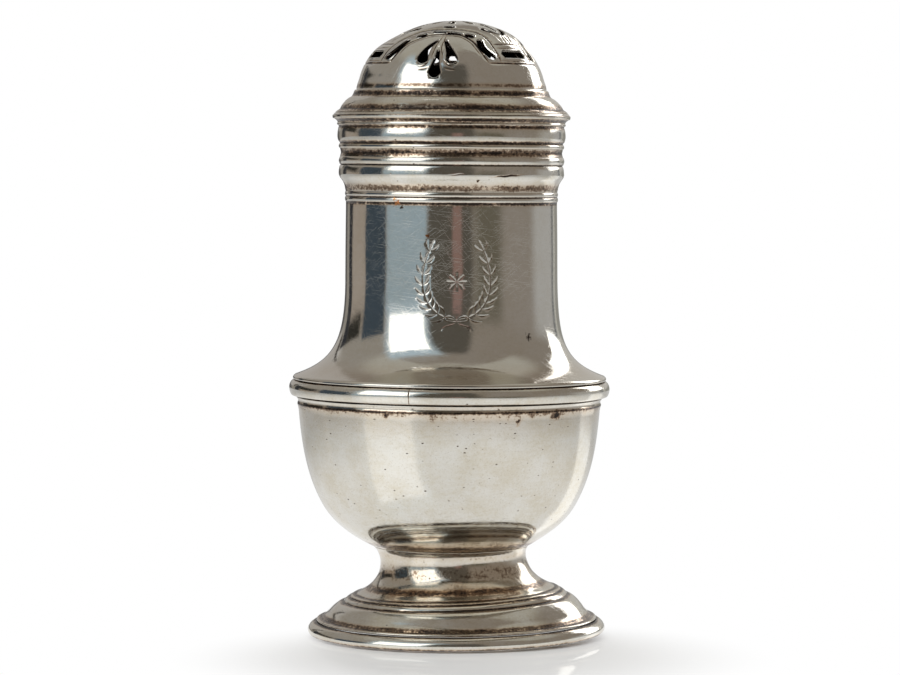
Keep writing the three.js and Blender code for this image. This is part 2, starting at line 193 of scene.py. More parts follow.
def resampled(points, step=STEP):
    """The same line with points added so that none is further than step from the next."""
    points = np.asarray(points, float)
    lengths = np.linalg.norm(np.diff(points, axis=0), axis=1)
    points = points[np.r_[True, lengths > 1e-6]]
    lengths = lengths[lengths > 1e-6]
    out = [points[:1]]
    for a, b, length in zip(points[:-1], points[1:], lengths):
        n = max(1, int(np.ceil(length / step)))
        out.append(a + (b - a) * (np.arange(1, n + 1) / n)[:, None])
    return np.vstack(out)


def ahead_of(line):
    """Unit steps along a line, at each of its points."""
    ahead = np.gradient(np.asarray(line, float), axis=0)
    return ahead / np.linalg.norm(ahead, axis=1)[:, None]


def left_of(line):
    """Unit steps to the left of a flat line, at each of its points."""
    ahead = ahead_of(line)
    return np.c_[-ahead[:, 1], ahead[:, 0]]


def inset(points, depth):
    """The line moved to its left by depth: into the wall, for a line that runs up the outside."""
    return points + depth * left_of(points)


def stepped(radius, height, steps):
    """Points given by their steps outward and up from one radius and height."""
    return [(radius + out, height + up) for out, up in steps]


def smooth(x, low, high):
    """Zero below low, one above high and a smooth step between them."""
    t = np.clip((x - low) / (high - low), 0, 1)
    return t * t * (3 - 2 * t)


# Meshes


def bent(p):
    """Points of the caster as it stands: its axis a little bent, its foot and its waist tipped.

    Each amount counts in full from the height where it has grown to the one where it starts to die away, with
    a smooth step before and after.
    """
    x, y, z = p.T
    shift, lift, tip, back_tip, slimness = (
        sum(amount * (smooth(z, *grows) - smooth(z, *dies)) for amount, grows, dies in amounts)
        for amounts in (SHIFTS, LIFTS, TIPS, BACK_TIPS, DOME_SLIMNESS)
    )
    return np.c_[x * (1 - slimness) + shift, y * (1 - slimness), z + lift + tip * x + back_tip * y]


def make_mesh(name, verts, faces, corner_uv=None):
    """Object from vertices in mm, index arrays of triangles or of quads, and a UV in mm for each corner."""
    mesh = bpy.data.meshes.new(name)
    corners = np.concatenate([f.ravel() for f in faces]).astype(np.int32)
    counts = np.concatenate([np.full(len(f), f.shape[1], np.int32) for f in faces])
    mesh.vertices.add(len(verts))
    mesh.vertices.foreach_set("co", (np.asarray(verts, np.float32) * 0.001).ravel())
    mesh.loops.add(len(corners))
    mesh.loops.foreach_set("vertex_index", corners)
    mesh.polygons.add(len(counts))
    mesh.polygons.foreach_set("loop_start", np.r_[0, np.cumsum(counts)[:-1]].astype(np.int32))
    mesh.polygons.foreach_set("use_smooth", np.ones(len(counts), bool))
    mesh.update(calc_edges=True)
    mesh.validate()
    if corner_uv is not None:
        mesh.uv_layers.new(name="mm").uv.foreach_set("vector", np.asarray(corner_uv, np.float32).ravel())
    obj = bpy.data.objects.new(name, mesh)
    bpy.context.scene.collection.objects.link(obj)
    return obj


def around(count=COLUMNS, seam=None):
    """Azimuths in radians from the back all the way round, with extra ones close to a seam."""
    az = np.arange(count) * 2 * math.pi / count - math.pi
    if seam is not None:
        az = np.unique(np.round(np.r_[az, math.radians(seam) + np.linspace(-1, 1, 41) * 0.03], 6))
    return az


def polar(az, r, z):
    """Points from azimuths in radians, radii and heights."""
    return np.stack([r * np.sin(az), -r * np.cos(az), z], -1).reshape(-1, 3)


def meshed(lines, loose):
    """Triangles of a flat region from lines and loose points, all in one plane.

    Each line is its points and whether it closes. Gives the flat vertices, the triangles, all anticlockwise,
    and the vertex numbers of each line's points.
    """
    edges, runs, start = [], [], 0
    for points, closed in lines:
        n = len(points)
        edges += [(start + k, start + (k + 1) % n) for k in range(n if closed else n - 1)]
        runs.append(np.arange(start, start + n))
        start += n
    flat = np.vstack([points for points, _ in lines] + [loose])
    verts, _, faces, groups, _, _ = delaunay_2d_cdt([Vector(p) for p in flat], edges, [], 0, 1e-7, True)
    place = {old: new for new, olds in enumerate(groups) for old in olds}
    flat = np.array([v[:] for v in verts])
    tris = np.array([f for f in faces if len(f) == 3])
    a, b, c = (flat[tris[:, k]] for k in range(3))
    backward = (b[:, 0] - a[:, 0]) * (c[:, 1] - a[:, 1]) - (b[:, 1] - a[:, 1]) * (c[:, 0] - a[:, 0]) < 0
    tris[backward] = tris[backward][:, ::-1]
    return flat, tris, [np.array([place[k] for k in run]) for run in runs]


def nearest(points, samples, block=2000):
    """Distance from each point to the nearest sample, and which sample that is."""
    away, which = np.empty(len(points)), np.empty(len(points), int)
    for start in range(0, len(points), block):
        squares = ((points[start : start + block, None] - samples[None]) ** 2).sum(-1)
        which[start : start + block] = squares.argmin(1)
        away[start : start + block] = np.sqrt(squares.min(1))
    return away, which


def taper(line, ends=0.8):
    """How full a cut is along its line: it dies away over the last stretch at both ends."""
    run = np.r_[0, np.cumsum(np.linalg.norm(np.diff(line, axis=0), axis=1))]
    return np.clip(np.minimum(run, run[-1] - run) / ends, 0.12, 1) ** 0.8


def cut_depth(points, strokes):
    """Depth in mm of the engraved lines at each point: a V across each line."""
    depth = np.zeros(len(points))
    for line, half, deep in strokes:
        fine = resampled(line, 0.04)
        full = taper(fine)
        near = np.where(np.all((points >= fine.min(0) - half) & (points <= fine.max(0) + half), axis=1))[0]
        if len(near) == 0:
            continue
        away, which = nearest(points[near], fine)
        groove = np.clip(1 - away / (half * full[which]), 0, 1)
        depth[near] = np.maximum(depth[near], deep * full[which] * groove)
    return depth


def engraved_window(ring, length, az, engraving):
    """A window of the turned wall, meshed finely enough for cuts, on the border vertices of the wall's grid.

    Gives the rows and columns that the window takes away, the numbers of the border vertices in the grid and
    in the window, and then the window's azimuths, radii and heights in one, its UVs, its triangles and the
    depth of its cuts.
    """
    middle, height, half, strokes = engraving
    strokes = [(line + (middle, height), width, deep) for line, width, deep in strokes]
    outside = np.arange(len(ring)) < ring[:, 1].argmax()
    rows = np.where(outside & (np.abs(ring[:, 1] - height) < half))[0]
    columns = np.where(np.abs(az * NECK_RADIUS - middle) < half)[0]
    border = [(rows[0], c) for c in columns[:-1]] + [(r, columns[-1]) for r in rows[:-1]]
    border += [(rows[-1], c) for c in columns[:0:-1]] + [(r, columns[0]) for r in rows[:0:-1]]
    border = np.array(border)
    edge = np.c_[az[border[:, 1]] * NECK_RADIUS, ring[border[:, 0], 1]]
    lines = [(edge, True)]
    for line, width, _ in strokes:
        side = left_of(line) * (width * taper(line))[:, None]
        lines += [(line + side * k, False) for k in (-1, 0, 1)]
    low, high = edge.min(0), edge.max(0)
    u, v = np.meshgrid(np.arange(low[0], high[0], FINE_GRID), np.arange(low[1], high[1], FINE_GRID))
    loose = np.c_[u.ravel(), v.ravel()]
    loose = loose[nearest(loose, np.vstack([p for p, _ in lines]))[0] > CLEAR_OF_LINES]
    flat, tris, runs = meshed(lines, loose)
    depth = cut_depth(flat, strokes)
    span = slice(rows[0], rows[-1] + 1)
    radius = np.interp(flat[:, 1], ring[span, 1], ring[span, 0]) - depth
    uv = np.c_[flat[:, 0], np.interp(flat[:, 1], ring[span, 1], length[span])]
    place = (flat[:, 0] / NECK_RADIUS, radius, flat[:, 1])
    return rows, columns, border @ (len(az), 1), runs[0], place, uv, tris, depth


def turned(profile, step=STEP, az=None, shape=None, engraving=None):
    """A closed surface of revolution: vertices, faces, corner UVs and the depth of cuts at each vertex.

    The profile runs up the outside and down the inside, and either comes back to its start or begins and ends
    on the axis. shape moves the points: it takes azimuths, radii and heights and gives radii and heights.
    """
    az = around() if az is None else az
    shape = shape or (lambda azimuth, radius, height: (radius, height))
    profile = resampled(profile, step)
    on_axis = profile[0, 0] < 1e-6
    ring = profile[1:-1] if on_axis else profile[:-1]
    n, m = len(ring), len(az)
    length = np.r_[0, np.cumsum(np.linalg.norm(np.diff(np.vstack([ring, ring[:1]]), axis=0), axis=1))]
    grid_az, r = np.meshgrid(az, ring[:, 0])
    verts = [polar(grid_az, *shape(grid_az, r, np.repeat(ring[:, 1][:, None], m, axis=1)))]
    i, j = (g.ravel() for g in np.meshgrid(np.arange(n - 1 if on_axis else n), np.arange(m), indexing="ij"))
    cut = np.zeros(n * m)
    patch_faces, patch_uv = [], []
    if engraving is not None:
        window = engraved_window(ring, length, az, engraving)
        rows, columns, border, run, place, place_uv, tris, depth = window
        gone = (i >= rows[0]) & (i < rows[-1]) & (j >= columns[0]) & (j < columns[-1])
        i, j = i[~gone], j[~gone]
        number = np.full(len(depth), -1)
        number[run] = border
        fresh = number < 0
        number[fresh] = n * m + np.arange(fresh.sum())
        verts.append(polar(place[0], *shape(*place))[fresh])
        cut = np.r_[cut, depth[fresh]]
        patch_faces.append(number[tris])
        patch_uv.append(place_uv[tris].reshape(-1, 2))
    up, over = (i + 1) % n, (j + 1) % m
    quads = np.c_[i * m + j, i * m + over, up * m + over, up * m + j]
    width = np.r_[az, az[0] + 2 * math.pi] * NECK_RADIUS
    corners = [(j, i), (j + 1, i), (j + 1, i + 1), (j, i + 1)]
    uv = [np.stack([np.c_[width[a], length[b]] for a, b in corners], 1).reshape(-1, 2)] + patch_uv
    faces = [quads] + patch_faces
    if on_axis:
        first = sum(len(v) for v in verts)
        verts.append(np.array([[0, 0, profile[0, 1]], [0, 0, profile[-1, 1]]]))
        cut = np.r_[cut, 0, 0]
        k = np.arange(m)
        nxt = (k + 1) % m
        low = np.c_[np.full(m, first), nxt, k]
        high = np.c_[np.full(m, first + 1), (n - 1) * m + k, (n - 1) * m + nxt]
        faces.append(np.vstack([low, high]))
        uv.append(np.zeros((6 * m, 2)))
    return np.vstack(verts), faces, np.vstack(uv), cut


# Profiles of the pieces, up the outside and down the inside


def foot_rim_wire():
    """One bulging curve outside, a square seat behind it."""
    ground = (RIM_RADIUS - 0.9, 0)
    top = (RIM_INNER + 0.75, RIM_TOP - 0.05)
    side = bezier(ground, (RIM_RADIUS + 0.5, 0), (RIM_RADIUS + 0.45, 1.6), top)
    back = stepped(RIM_INNER, RIM_TOP, [(0.5, -0.12), (0, -0.12)]) + [(RIM_INNER, 0), ground]
    return np.vstack([side, rounded([side[-1]] + back, 0.1)[1:]])


def foot_dome():
    """A small step above the rim wire, a full swell and a rounded collar under the stem."""
    ledge = rounded(stepped(RIM_INNER, RIM_TOP, [
        (0.1, 0), (0.5, 0), (0.66, 0.12), (0.62, 0.3), (0.3, 0.44), (-0.1, 0.48), (-0.2, 0.56),
    ]), 0.12)
    shoulder = (STEM_BASE_RADIUS + 1.15, FOOT_TOP - 0.8)
    swell = smooth_line(stepped(RIM_INNER, RIM_TOP, [
        (-0.2, 0.56), (-0.6, 0.9), (-1.1, 1.4), (-1.5, 1.9), (-1.95, 2.4), (-2.45, 2.85), (-2.9, 3.14),
    ]) + [shoulder], 0.1)
    collar = rounded([shoulder] + stepped(STEM_BASE_RADIUS, FOOT_TOP, [
        (0.94, -0.76), (0.86, -0.62), (0.74, -0.42), (0.45, -0.18), (0.1, 0),
    ]), 0.1)
    throat = STEM_BASE_RADIUS - 1.3
    under = stepped(RIM_INNER, RIM_TOP, [(-3.8, 2.4), (-2.4, 1.2), (-0.8, 0.08)])
    inner = bezier((throat, FOOT_TOP - 1.45), *under)
    end = stepped(RIM_INNER, RIM_TOP, [(-0.5, 0), (0.1, 0)])
    return np.vstack([ledge, swell[1:], collar[1:], [(throat, FOOT_TOP)], inner, end])


def foot_stem():
    """A small bead at the foot and a waist that opens again under the bowl."""
    bead = rounded(stepped(STEM_BASE_RADIUS, FOOT_TOP, [
        (-1, 0), (0, 0), (-0.2, 0.2), (-0.5, 0.34), (-0.85, 0.38), (-1.05, 0.46), (-1.35, 0.64),
    ]), 0.12)
    waist = smooth_line([bead[-1]] + stepped(STEM_RADIUS, STEM_TOP, [
        (2.15, -5.7), (1.25, -5.05), (0.4, -4.15), (-0.28, -3.1), (-0.67, -1.8), (-0.52, -0.8), (0, 0),
    ]))
    inner = inset(waist, WALL)[2:-4][::-1]
    lip = [(STEM_RADIUS - 0.85, STEM_TOP - 0.55)]
    back = stepped(STEM_BASE_RADIUS, FOOT_TOP, [(-1.4, 0), (-1, 0)])
    return np.vstack([bead, waist[1:], lip, inner, back])


def bowl():
    """A shallow base inside the stem, a full side in one curve and a thin grooved lip, with an even wall."""
    seat = (STEM_RADIUS - 0.85, STEM_TOP - 0.55)
    bottom = STEM_TOP - 2.9
    base = bezier((0, bottom), (0.4 * STEM_RADIUS, bottom), (STEM_RADIUS - 3.5, STEM_TOP - 1.55), seat, 20)
    fullness = [(BOWL_RADIUS - 3.4, STEM_TOP + 4.1), (BOWL_RADIUS - 0.8, STEM_TOP + 11.48)]
    side = bezier((STEM_RADIUS, STEM_TOP), *fullness, (BOWL_RADIUS, BOWL_TOP - 1.9), 90)
    lip = rounded([side[-1]] + stepped(BOWL_RADIUS, BOWL_TOP, [
        (0.1, -1.4), (0.2, -1.04), (0.16, -0.92), (0.08, -0.6), (0.1, -0.36), (0.25, -0.2), (0.36, 0),
        (0.2, 0.14), (0, 0.16), (-0.7, 0),
    ]), 0.1)
    outside = np.vstack([base, side])
    inside = inset(outside, WALL)[::-1]
    inside[-1, 0] = 0
    inside = inside[inside[:, 1] < BOWL_TOP - 1.9]
    return np.vstack([outside, lip[1:], inside])


def girdle_wire():
    """A heavy half-round wire, flat behind."""
    side = smooth_line(stepped(BOWL_RADIUS, BOWL_TOP, [
        (0.6, 0.22), (1.12, 0.34), (1.36, 0.78), (1.48, 1.42), (1.36, 2.02), (1.08, 2.44),
    ]) + [(BOWL_RADIUS + 0.7, GIRDLE_TOP)], 0.1)
    back = [(BOWL_RADIUS - 0.7, GIRDLE_TOP)] + stepped(BOWL_RADIUS, BOWL_TOP, [(-0.7, 0.22), (0.6, 0.22)])
    return np.vstack([side, rounded([side[-1]] + back, 0.05)[1:]])


def reed(height, half):
    """The corners of one thin reed round the neck, from the groove below it to its top."""
    corners = [(-0.1, -half - 0.03), (-0.01, 0.1 - half), (0.06, 0), (0, half - 0.08)]
    return stepped(NECK_RADIUS, height, corners)


def upper_body():
    """A lip on the waist wire, a flare that turns into the straight neck, two reeds and a plain rim."""
    lip = rounded(stepped(BOWL_RADIUS, GIRDLE_TOP, [
        (0, 0), (0.6, 0), (0.85, 0.1), (FLARE_RADIUS - 0.02 - BOWL_RADIUS, 0.25), (0.88, 0.5), (0.65, 0.72),
    ]), 0.12)
    sweep = [(NECK_RADIUS + 1.7, GIRDLE_TOP + 2.85), (NECK_RADIUS, GIRDLE_TOP + 5.6)]
    flare = bezier(lip[-1], *sweep, (NECK_RADIUS, FLARE_TOP), 90)
    groove = stepped(NECK_RADIUS, STOP_BASE, [(-0.06, -0.3), (0, 0)])
    reeds = rounded(reed(*REEDS[1]) + reed(*REEDS[0]) + groove, 0.1)
    inside = NECK_RADIUS - WALL
    rim = [(NECK_RADIUS, STOP_BASE + 0.5), (NECK_RADIUS, NECK_TOP), (inside, NECK_TOP), (inside, FLARE_TOP)]
    inner = inset(flare, WALL)[4:][::-1]
    end = stepped(BOWL_RADIUS, GIRDLE_TOP, [(-0.8, 0), (0, 0)])
    return np.vstack([lip, flare[1:], reeds, rounded(rim, 0.2), inner, end])


def neck_wire():
    """A hollow that swells into a full round wire with a flat top."""
    side = stepped(NECK_RADIUS, STOP_BASE, [
        (0, 0), (0.06, 0.35), (0.22, 0.9), (0.5, 1.4), (0.82, 1.85), (0.98, 2.3), (0.97, 2.85),
    ])
    side += stepped(NECK_RADIUS, STOP_TOP, [(0.9, -0.45), (0.78, -0.12)])
    end = side[-1:] + stepped(NECK_RADIUS, STOP_TOP, [(0.66, 0), (0, 0)]) + side[:1]
    return np.vstack([smooth_line(side, 0.12), rounded(end, 0.05)[1:]])


def cover_sleeve():
    """A plain tube with a shallow hollow between its two mouldings."""
    inside = stepped(SLEEVE_INNER, COVER_BASE, [(0, 0.5), (0, 0)])
    outside = stepped(SLEEVE_OUTER, COVER_BASE, [(0, 0), (0, 1.2), (-0.16, 1.8)])
    outside += [(SLEEVE_OUTER, BAND_BASE), (SLEEVE_OUTER, FLANGE_BASE)]
    return rounded(inside + outside + [(SLEEVE_INNER, FLANGE_BASE), inside[0]], 0.2)


def sleeve_edge_wire():
    """A single half-round bead."""
    bead = smooth_line(stepped(SLEEVE_OUTER, COVER_BASE, [
        (0.02, 0), (0.1, 0.2), (0.2, 0.52), (0.16, 0.85), (0.02, 1.18),
    ]), 0.1)
    return np.vstack([bead, stepped(SLEEVE_OUTER, COVER_BASE, [(0, 1.18), (0, 0), (0.02, 0)])])


def sleeve_band():
    """A small bead, a groove and a broad low swell up to the flange."""
    bead = smooth_line(stepped(SLEEVE_OUTER, BAND_BASE, [
        (0, 0), (0.12, 0.1), (0.18, 0.32), (0.12, 0.6), (-0.02, 0.74),
    ]), 0.1)
    top = stepped(SLEEVE_OUTER, FLANGE_BASE, [(0.18, -0.06), (0.16, 0)])
    swell = smooth_line([bead[-1]] + stepped(SLEEVE_OUTER, BAND_BASE, [
        (0, 0.86), (0.22, 1.12), (0.35, 1.5), (0.4, 1.9), (0.37, 2.5), (0.27, 3.05),
    ]) + top, 0.1)
    return np.vstack([bead, swell[1:], [(SLEEVE_OUTER, FLANGE_BASE), (SLEEVE_OUTER, BAND_BASE)]])


def cover_flange_wire():
    """A small bead, a hollow and a sharp edge that stands out furthest of the whole cover."""
    edge = smooth_line(stepped(SLEEVE_OUTER, FLANGE_BASE, [
        (0.2, 0), (0.22, 0.1), (0.4, 0.22), (0.42, 0.42), (0.35, 0.62), (0.52, 0.88), (0.85, 1.14),
        (1.06, 1.2), (FLANGE_RADIUS - 0.1 - SLEEVE_OUTER, 1.42), (1.14, 1.66), (0.96, 1.84),
    ]) + stepped(SLEEVE_OUTER, SHOULDER_BASE, [(0.78, -0.04), (0.3, 0)]), 0.08)
    return np.vstack([edge, [(SLEEVE_INNER, SHOULDER_BASE), (SLEEVE_INNER, FLANGE_BASE), edge[0]]])


def cover_shoulder():
    """Steps and one full bead that climb inward to the dome, over a plain sloping inside."""
    steps = rounded(stepped(SLEEVE_OUTER, SHOULDER_BASE, [
        (0.3, 0), (0.78, 0.02), (0.5, 0.26), (0.22, 0.46), (0.08, 0.5), (0.02, 0.6), (-0.2, 1), (-0.46, 1.36),
        (-0.88, 1.82), (-1.35, 2.2), (-1.7, 2.38), (-1.84, 2.48), (-2.06, 2.86), (-2.2, 3.28), (-2.27, 3.42),
    ]) + [(DOME_RADIUS + 0.15, DOME_BASE)], 0.14)
    inner = rounded(stepped(DOME_RADIUS, DOME_BASE, [
        (0.15, 0), (-DOME_WALL, 0), (-DOME_WALL, -0.7), (-0.05, -1.7),
    ]) + [(SLEEVE_OUTER - 1.2, SHOULDER_BASE + 0.35), (SLEEVE_INNER, SHOULDER_BASE), steps[0]], 0.2)
    return np.vstack([steps, inner[1:]])


# The engraving on the front


def sprig(points, count=24):
    """A short cut of the graver: a cubic curve through two handles."""
    return bezier(*points, count)


def wreath():
    """Cuts of a wreath, about its middle: two laurel sprays that rise from a bow, and a rosette between."""
    cuts = []
    for s in (-1, 1):
        stalk = sprig([(s * 0.15, -5.7), (s * 4.4, -5.6), (s * 7.2, -0.6), (s * 3.4, 6.2)], 60)
        cuts.append((stalk, 0.09, 0.05))
        for t in np.linspace(0.14, 0.96, 9):
            k = int(t * 58)
            way = (stalk[k + 1] - stalk[k]) / np.linalg.norm(stalk[k + 1] - stalk[k])
            out = np.array([way[1], -way[0]])
            for side in (-1, 1):
                size = 2.1 - 0.7 * t
                root = stalk[k] + out * side * 0.12
                tip = root + way * size * 0.8 + out * side * size * 0.62
                belly = root + way * size * 0.2 + out * side * size * 0.5
                cuts.append((sprig([root, belly, belly + way * size * 0.3, tip], 12), 0.17, 0.055))
        cuts.append((sprig([(0, -5.8), (s * 1.6, -4.4), (s * 3.0, -6.4), (s * 0.1, -6.0)]), 0.12, 0.045))
        cuts.append((sprig([(s * 0.1, -6.1), (s * 0.7, -6.9), (s * 1.5, -6.4), (s * 2.2, -7.3)]), 0.11, 0.04))
    for k in range(8):
        turn = k * math.pi / 4
        way = np.array([math.cos(turn), math.sin(turn)])
        cuts.append((np.linspace(0.35, 1.35, 8)[:, None] * way, 0.16, 0.05))
    return cuts


# The pierced dome


def dome_point(az, up, depth=0.0):
    """Points of a half ellipsoid, depth mm under the dome's face.

    az and up are the azimuths and the parameter angles, in radians.
    """
    a, h = DOME_RADIUS - depth, DOME_HEIGHT - depth
    out, rise = a * np.cos(up), h * np.sin(up)
    return np.stack([out * np.sin(az), -out * np.cos(az), DOME_BASE + rise], -1)


def dome_angles(p):
    """Azimuth and parameter angle of the dome point in the direction of p."""
    out = np.hypot(p[..., 0], p[..., 1]) / DOME_RADIUS
    return np.arctan2(p[..., 0], -p[..., 1]), np.arctan2((p[..., 2] - DOME_BASE) / DOME_HEIGHT, out)


def dome_plane(az, up):
    """The dome laid flat for the triangulation: the crown in the middle, the base a circle."""
    reach_out = (1 - up / (math.pi / 2)) * FLAT_RADIUS
    return np.stack([reach_out * np.sin(az), -reach_out * np.cos(az)], -1)


def laid_flat(p):
    """Dome points on that plane."""
    return dome_plane(*dome_angles(p))


def dome_unplane(q):
    """Azimuth and parameter angle of a point of the flat dome."""
    return np.arctan2(q[..., 0], -q[..., 1]), math.pi / 2 * (1 - np.hypot(q[..., 0], q[..., 1]) / FLAT_RADIUS)


def normals_at(p):
    """Outward normals of the dome at its points."""
    n = p - np.array([0, 0, DOME_BASE])
    n = n / np.array([DOME_RADIUS**2, DOME_RADIUS**2, DOME_HEIGHT**2])
    return n / np.linalg.norm(n, axis=-1, keepdims=True)


def on_dome(pairs):
    """Points of the dome from pairs of degrees."""
    pairs = np.radians(np.array(pairs, float))
    return dome_point(pairs[:, 0], pairs[:, 1])


def teardrop(start, end, half_start, half_end, bend=0.0, count=22):
    """Closed outline of a drop between two dome points in degrees, with its half width in mm at each end."""
    p, q = on_dome([start, end])
    along = (q - p) / np.linalg.norm(q - p)
    side = np.cross(normals_at((p + q)[None] / 2)[0], along)
    t = np.linspace(0, 1, count)
    middle = p + (q - p) * t[:, None] + side * (bend * np.sin(math.pi * t))[:, None]
    half = half_start + (half_end - half_start) * t**1.6
    turn = np.linspace(0, math.pi, 11)[1:-1]
    cap_end = q + half_end * (np.cos(turn)[:, None] * side + np.sin(turn)[:, None] * along)
    cap_start = p - half_start * (np.cos(turn)[:, None] * side + np.sin(turn)[:, None] * along)
    left, right = middle + side * half[:, None], middle - side * half[:, None]
    return np.vstack([left, cap_end, right[::-1], cap_start])


def parallel_window(az_from, az_to, up_from, up_to):
    """Closed outline of a hole between two parallels, with a small notch in the middle of each end."""
    az = np.linspace(az_from, az_to, 24)
    low = np.c_[az, np.full(24, up_from)]
    high = np.c_[az[::-1], np.full(24, up_to)]
    middle = (up_from + up_to) / 2
    return on_dome(np.vstack([low, [(az_to + 1.6, middle)], high, [(az_from - 1.6, middle)]]))


def lobe_holes():
    """Outlines of the holes of one lobe and of the panel to its right, the lobe's middle at azimuth zero."""
    holes = [teardrop((0.5, 32), (-1, 13.5), 0.16, 0.92)]
    for s in (-1, 1):
        holes += [
            teardrop((s * 3.4, 43), (s * 9.9, 25), 0.14, 0.86, bend=s * 0.2),
            teardrop((s * 32, 42.5), (s * 38.9, 27.5), 0.46, 0.58, bend=-s * 0.35),
            teardrop((s * 21.8, 50.2), (s * 25, 49.2), 0.44, 0.42),
            teardrop((60 + s * 2.6, 52.5), (60 + s * 15.5, 59.5), 0.17, 0.55, bend=-s * 0.2),
        ]
    holes += [
        teardrop((-12.5, 54.6), (1, 54), 0.28, 0.32),
        teardrop((2.8, 53.6), (14, 52), 0.32, 0.26),
        teardrop((-3, 63), (3.4, 63), 0.4, 0.4),
        teardrop((60, 58), (60, 68.5), 0.16, 0.5),
        parallel_window(49.5, 70.5, 27.5, 33.3),
    ]
    holes += [teardrop((az, 72.5), (az, 80.5), 0.36, 0.2) for az in (-40, 0, 40)]
    return holes


def mirrored(pairs):
    """The half line given, with its mirror image about azimuth zero before it."""
    half = np.array(pairs, float)
    return np.vstack([half[::-1] * [-1, 1], half[1:] if half[0][0] == 0 else half])


def lobe_strokes():
    """Engraved lines of one lobe and of the panel to its right, as dome points with half width and depth."""
    arch = [(0, 51.2), (8, 51), (15, 50), (21.6, 46.2), (27, 41.5), (30, 36), (32, 30), (34.7, 22.2)]
    arch_in = [(0, 49.4), (7.6, 49.2), (14.2, 48), (20.2, 44.4), (25.2, 39.8), (28.2, 34), (30.2, 28)]
    strap = [(0, 58.4), (9, 58.2), (17.7, 57.5), (25, 56), (31, 54), (38, 47.5), (42, 40), (44, 31)]
    strap += [(44.6, 22)]
    strap_out = [(0, 60), (9.4, 59.8), (18.4, 59), (26, 57.4), (32.4, 55), (40, 48), (44.2, 40.6)]
    lines = [(mirrored(arch), 0.23, 0.14), (mirrored(arch_in), 0.13, 0.07), (mirrored(strap), 0.2, 0.12),
             (mirrored(strap_out), 0.13, 0.07)]
    lines += [
        ([(34.6, 21.8), (45, 21.8), (60, 21.8), (75, 21.8), (85.4, 21.8)], 0.2, 0.12),
        ([(44.4, 24), (52, 24), (60, 24), (68, 24), (75.6, 24)], 0.12, 0.06),
        ([(43.4, 40), (50, 40.2), (60, 40.4), (70, 40.2), (76.6, 40)], 0.17, 0.1),
        ([(45, 36), (52, 36.2), (60, 36.2), (68, 36.2), (75, 36)], 0.13, 0.07),
    ]
    for s in (-1, 1):
        lines += [
            ([(s * 4.8, 24), (s * 6.9, 20.4), (s * 9, 18.9), (s * 11.3, 18.6)], 0.17, 0.11),
            ([(s * 5, 18.1), (s * 6.8, 16.6), (s * 9.3, 16.1), (s * 12.5, 15.6)], 0.15, 0.1),
            ([(s * 1.4, 50), (s * 1.8, 42), (s * 2.6, 34), (s * 4, 26)], 0.13, 0.08),
            ([(60 + s * 2.2, 41.5), (60 + s * 2.4, 46), (60 + s * 1.6, 50.6)], 0.12, 0.07),
            ([(60 + s * 6, 41.5), (60 + s * 7, 46), (60 + s * 9, 50.5), (60 + s * 12, 54)], 0.14, 0.09),
        ]
    return [(smooth_line(on_dome(pairs)), half, depth) for pairs, half, depth in lines]


def turn_z(points, degrees):
    """Points turned about the axis, to the right for positive degrees."""
    c, s = math.cos(math.radians(degrees)), math.sin(math.radians(degrees))
    x, y = points[..., 0], points[..., 1]
    return np.stack([c * x - s * y, s * x + c * y, points[..., 2]], -1)


def offset_outline(points, grow):
    """A closed outline on the dome, grown by some mm."""
    ahead = np.roll(points, -1, 0) - np.roll(points, 1, 0)
    ahead /= np.linalg.norm(ahead, axis=1)[:, None]
    side = np.cross(ahead, normals_at(points))
    if np.sum((points - points.mean(0)) * side) < 0:
        side = -side
    return points + side * grow


def inside_polygon(q, polygon):
    """Which of the points q lie inside the closed polygon, by counting crossings."""
    x, y = q[:, 0][:, None], q[:, 1][:, None]
    a, b = polygon, np.roll(polygon, -1, 0)
    crosses = (a[:, 1] > y) != (b[:, 1] > y)
    with np.errstate(divide="ignore", invalid="ignore"):
        at = a[:, 0] + (y - a[:, 1]) / (b[:, 1] - a[:, 1]) * (b[:, 0] - a[:, 0])
    return (np.sum(crosses & (x < at), axis=1) % 2) == 1


def free_lines(strokes, outlines):
    """The edges and middle of each stroke as flat lines, without the parts that fall in a hole."""
    for line, half, _ in strokes:
        side = np.cross(normals_at(line), ahead_of(line))
        for shift in (-half, 0, half):
            flat = laid_flat(line + side * shift)
            free = ~np.any([inside_polygon(flat, o) for o in outlines], axis=0)
            breaks = np.where(np.diff(free.astype(int)) != 0)[0] + 1
            for run in np.split(np.arange(len(flat)), breaks):
                if free[run[0]] and len(run) > 1:
                    yield flat[run], False


def dome_pattern():
    """Outlines of all the holes and lines of all the cuts: the lobe's own, three times round."""
    holes, strokes = [], []
    for lobe in range(3):
        turn = LOBE_TURN + 120 * lobe
        holes += [turn_z(h, turn) for h in lobe_holes()]
        strokes += [(turn_z(line, turn), half, deep) for line, half, deep in lobe_strokes()]
    return holes, strokes


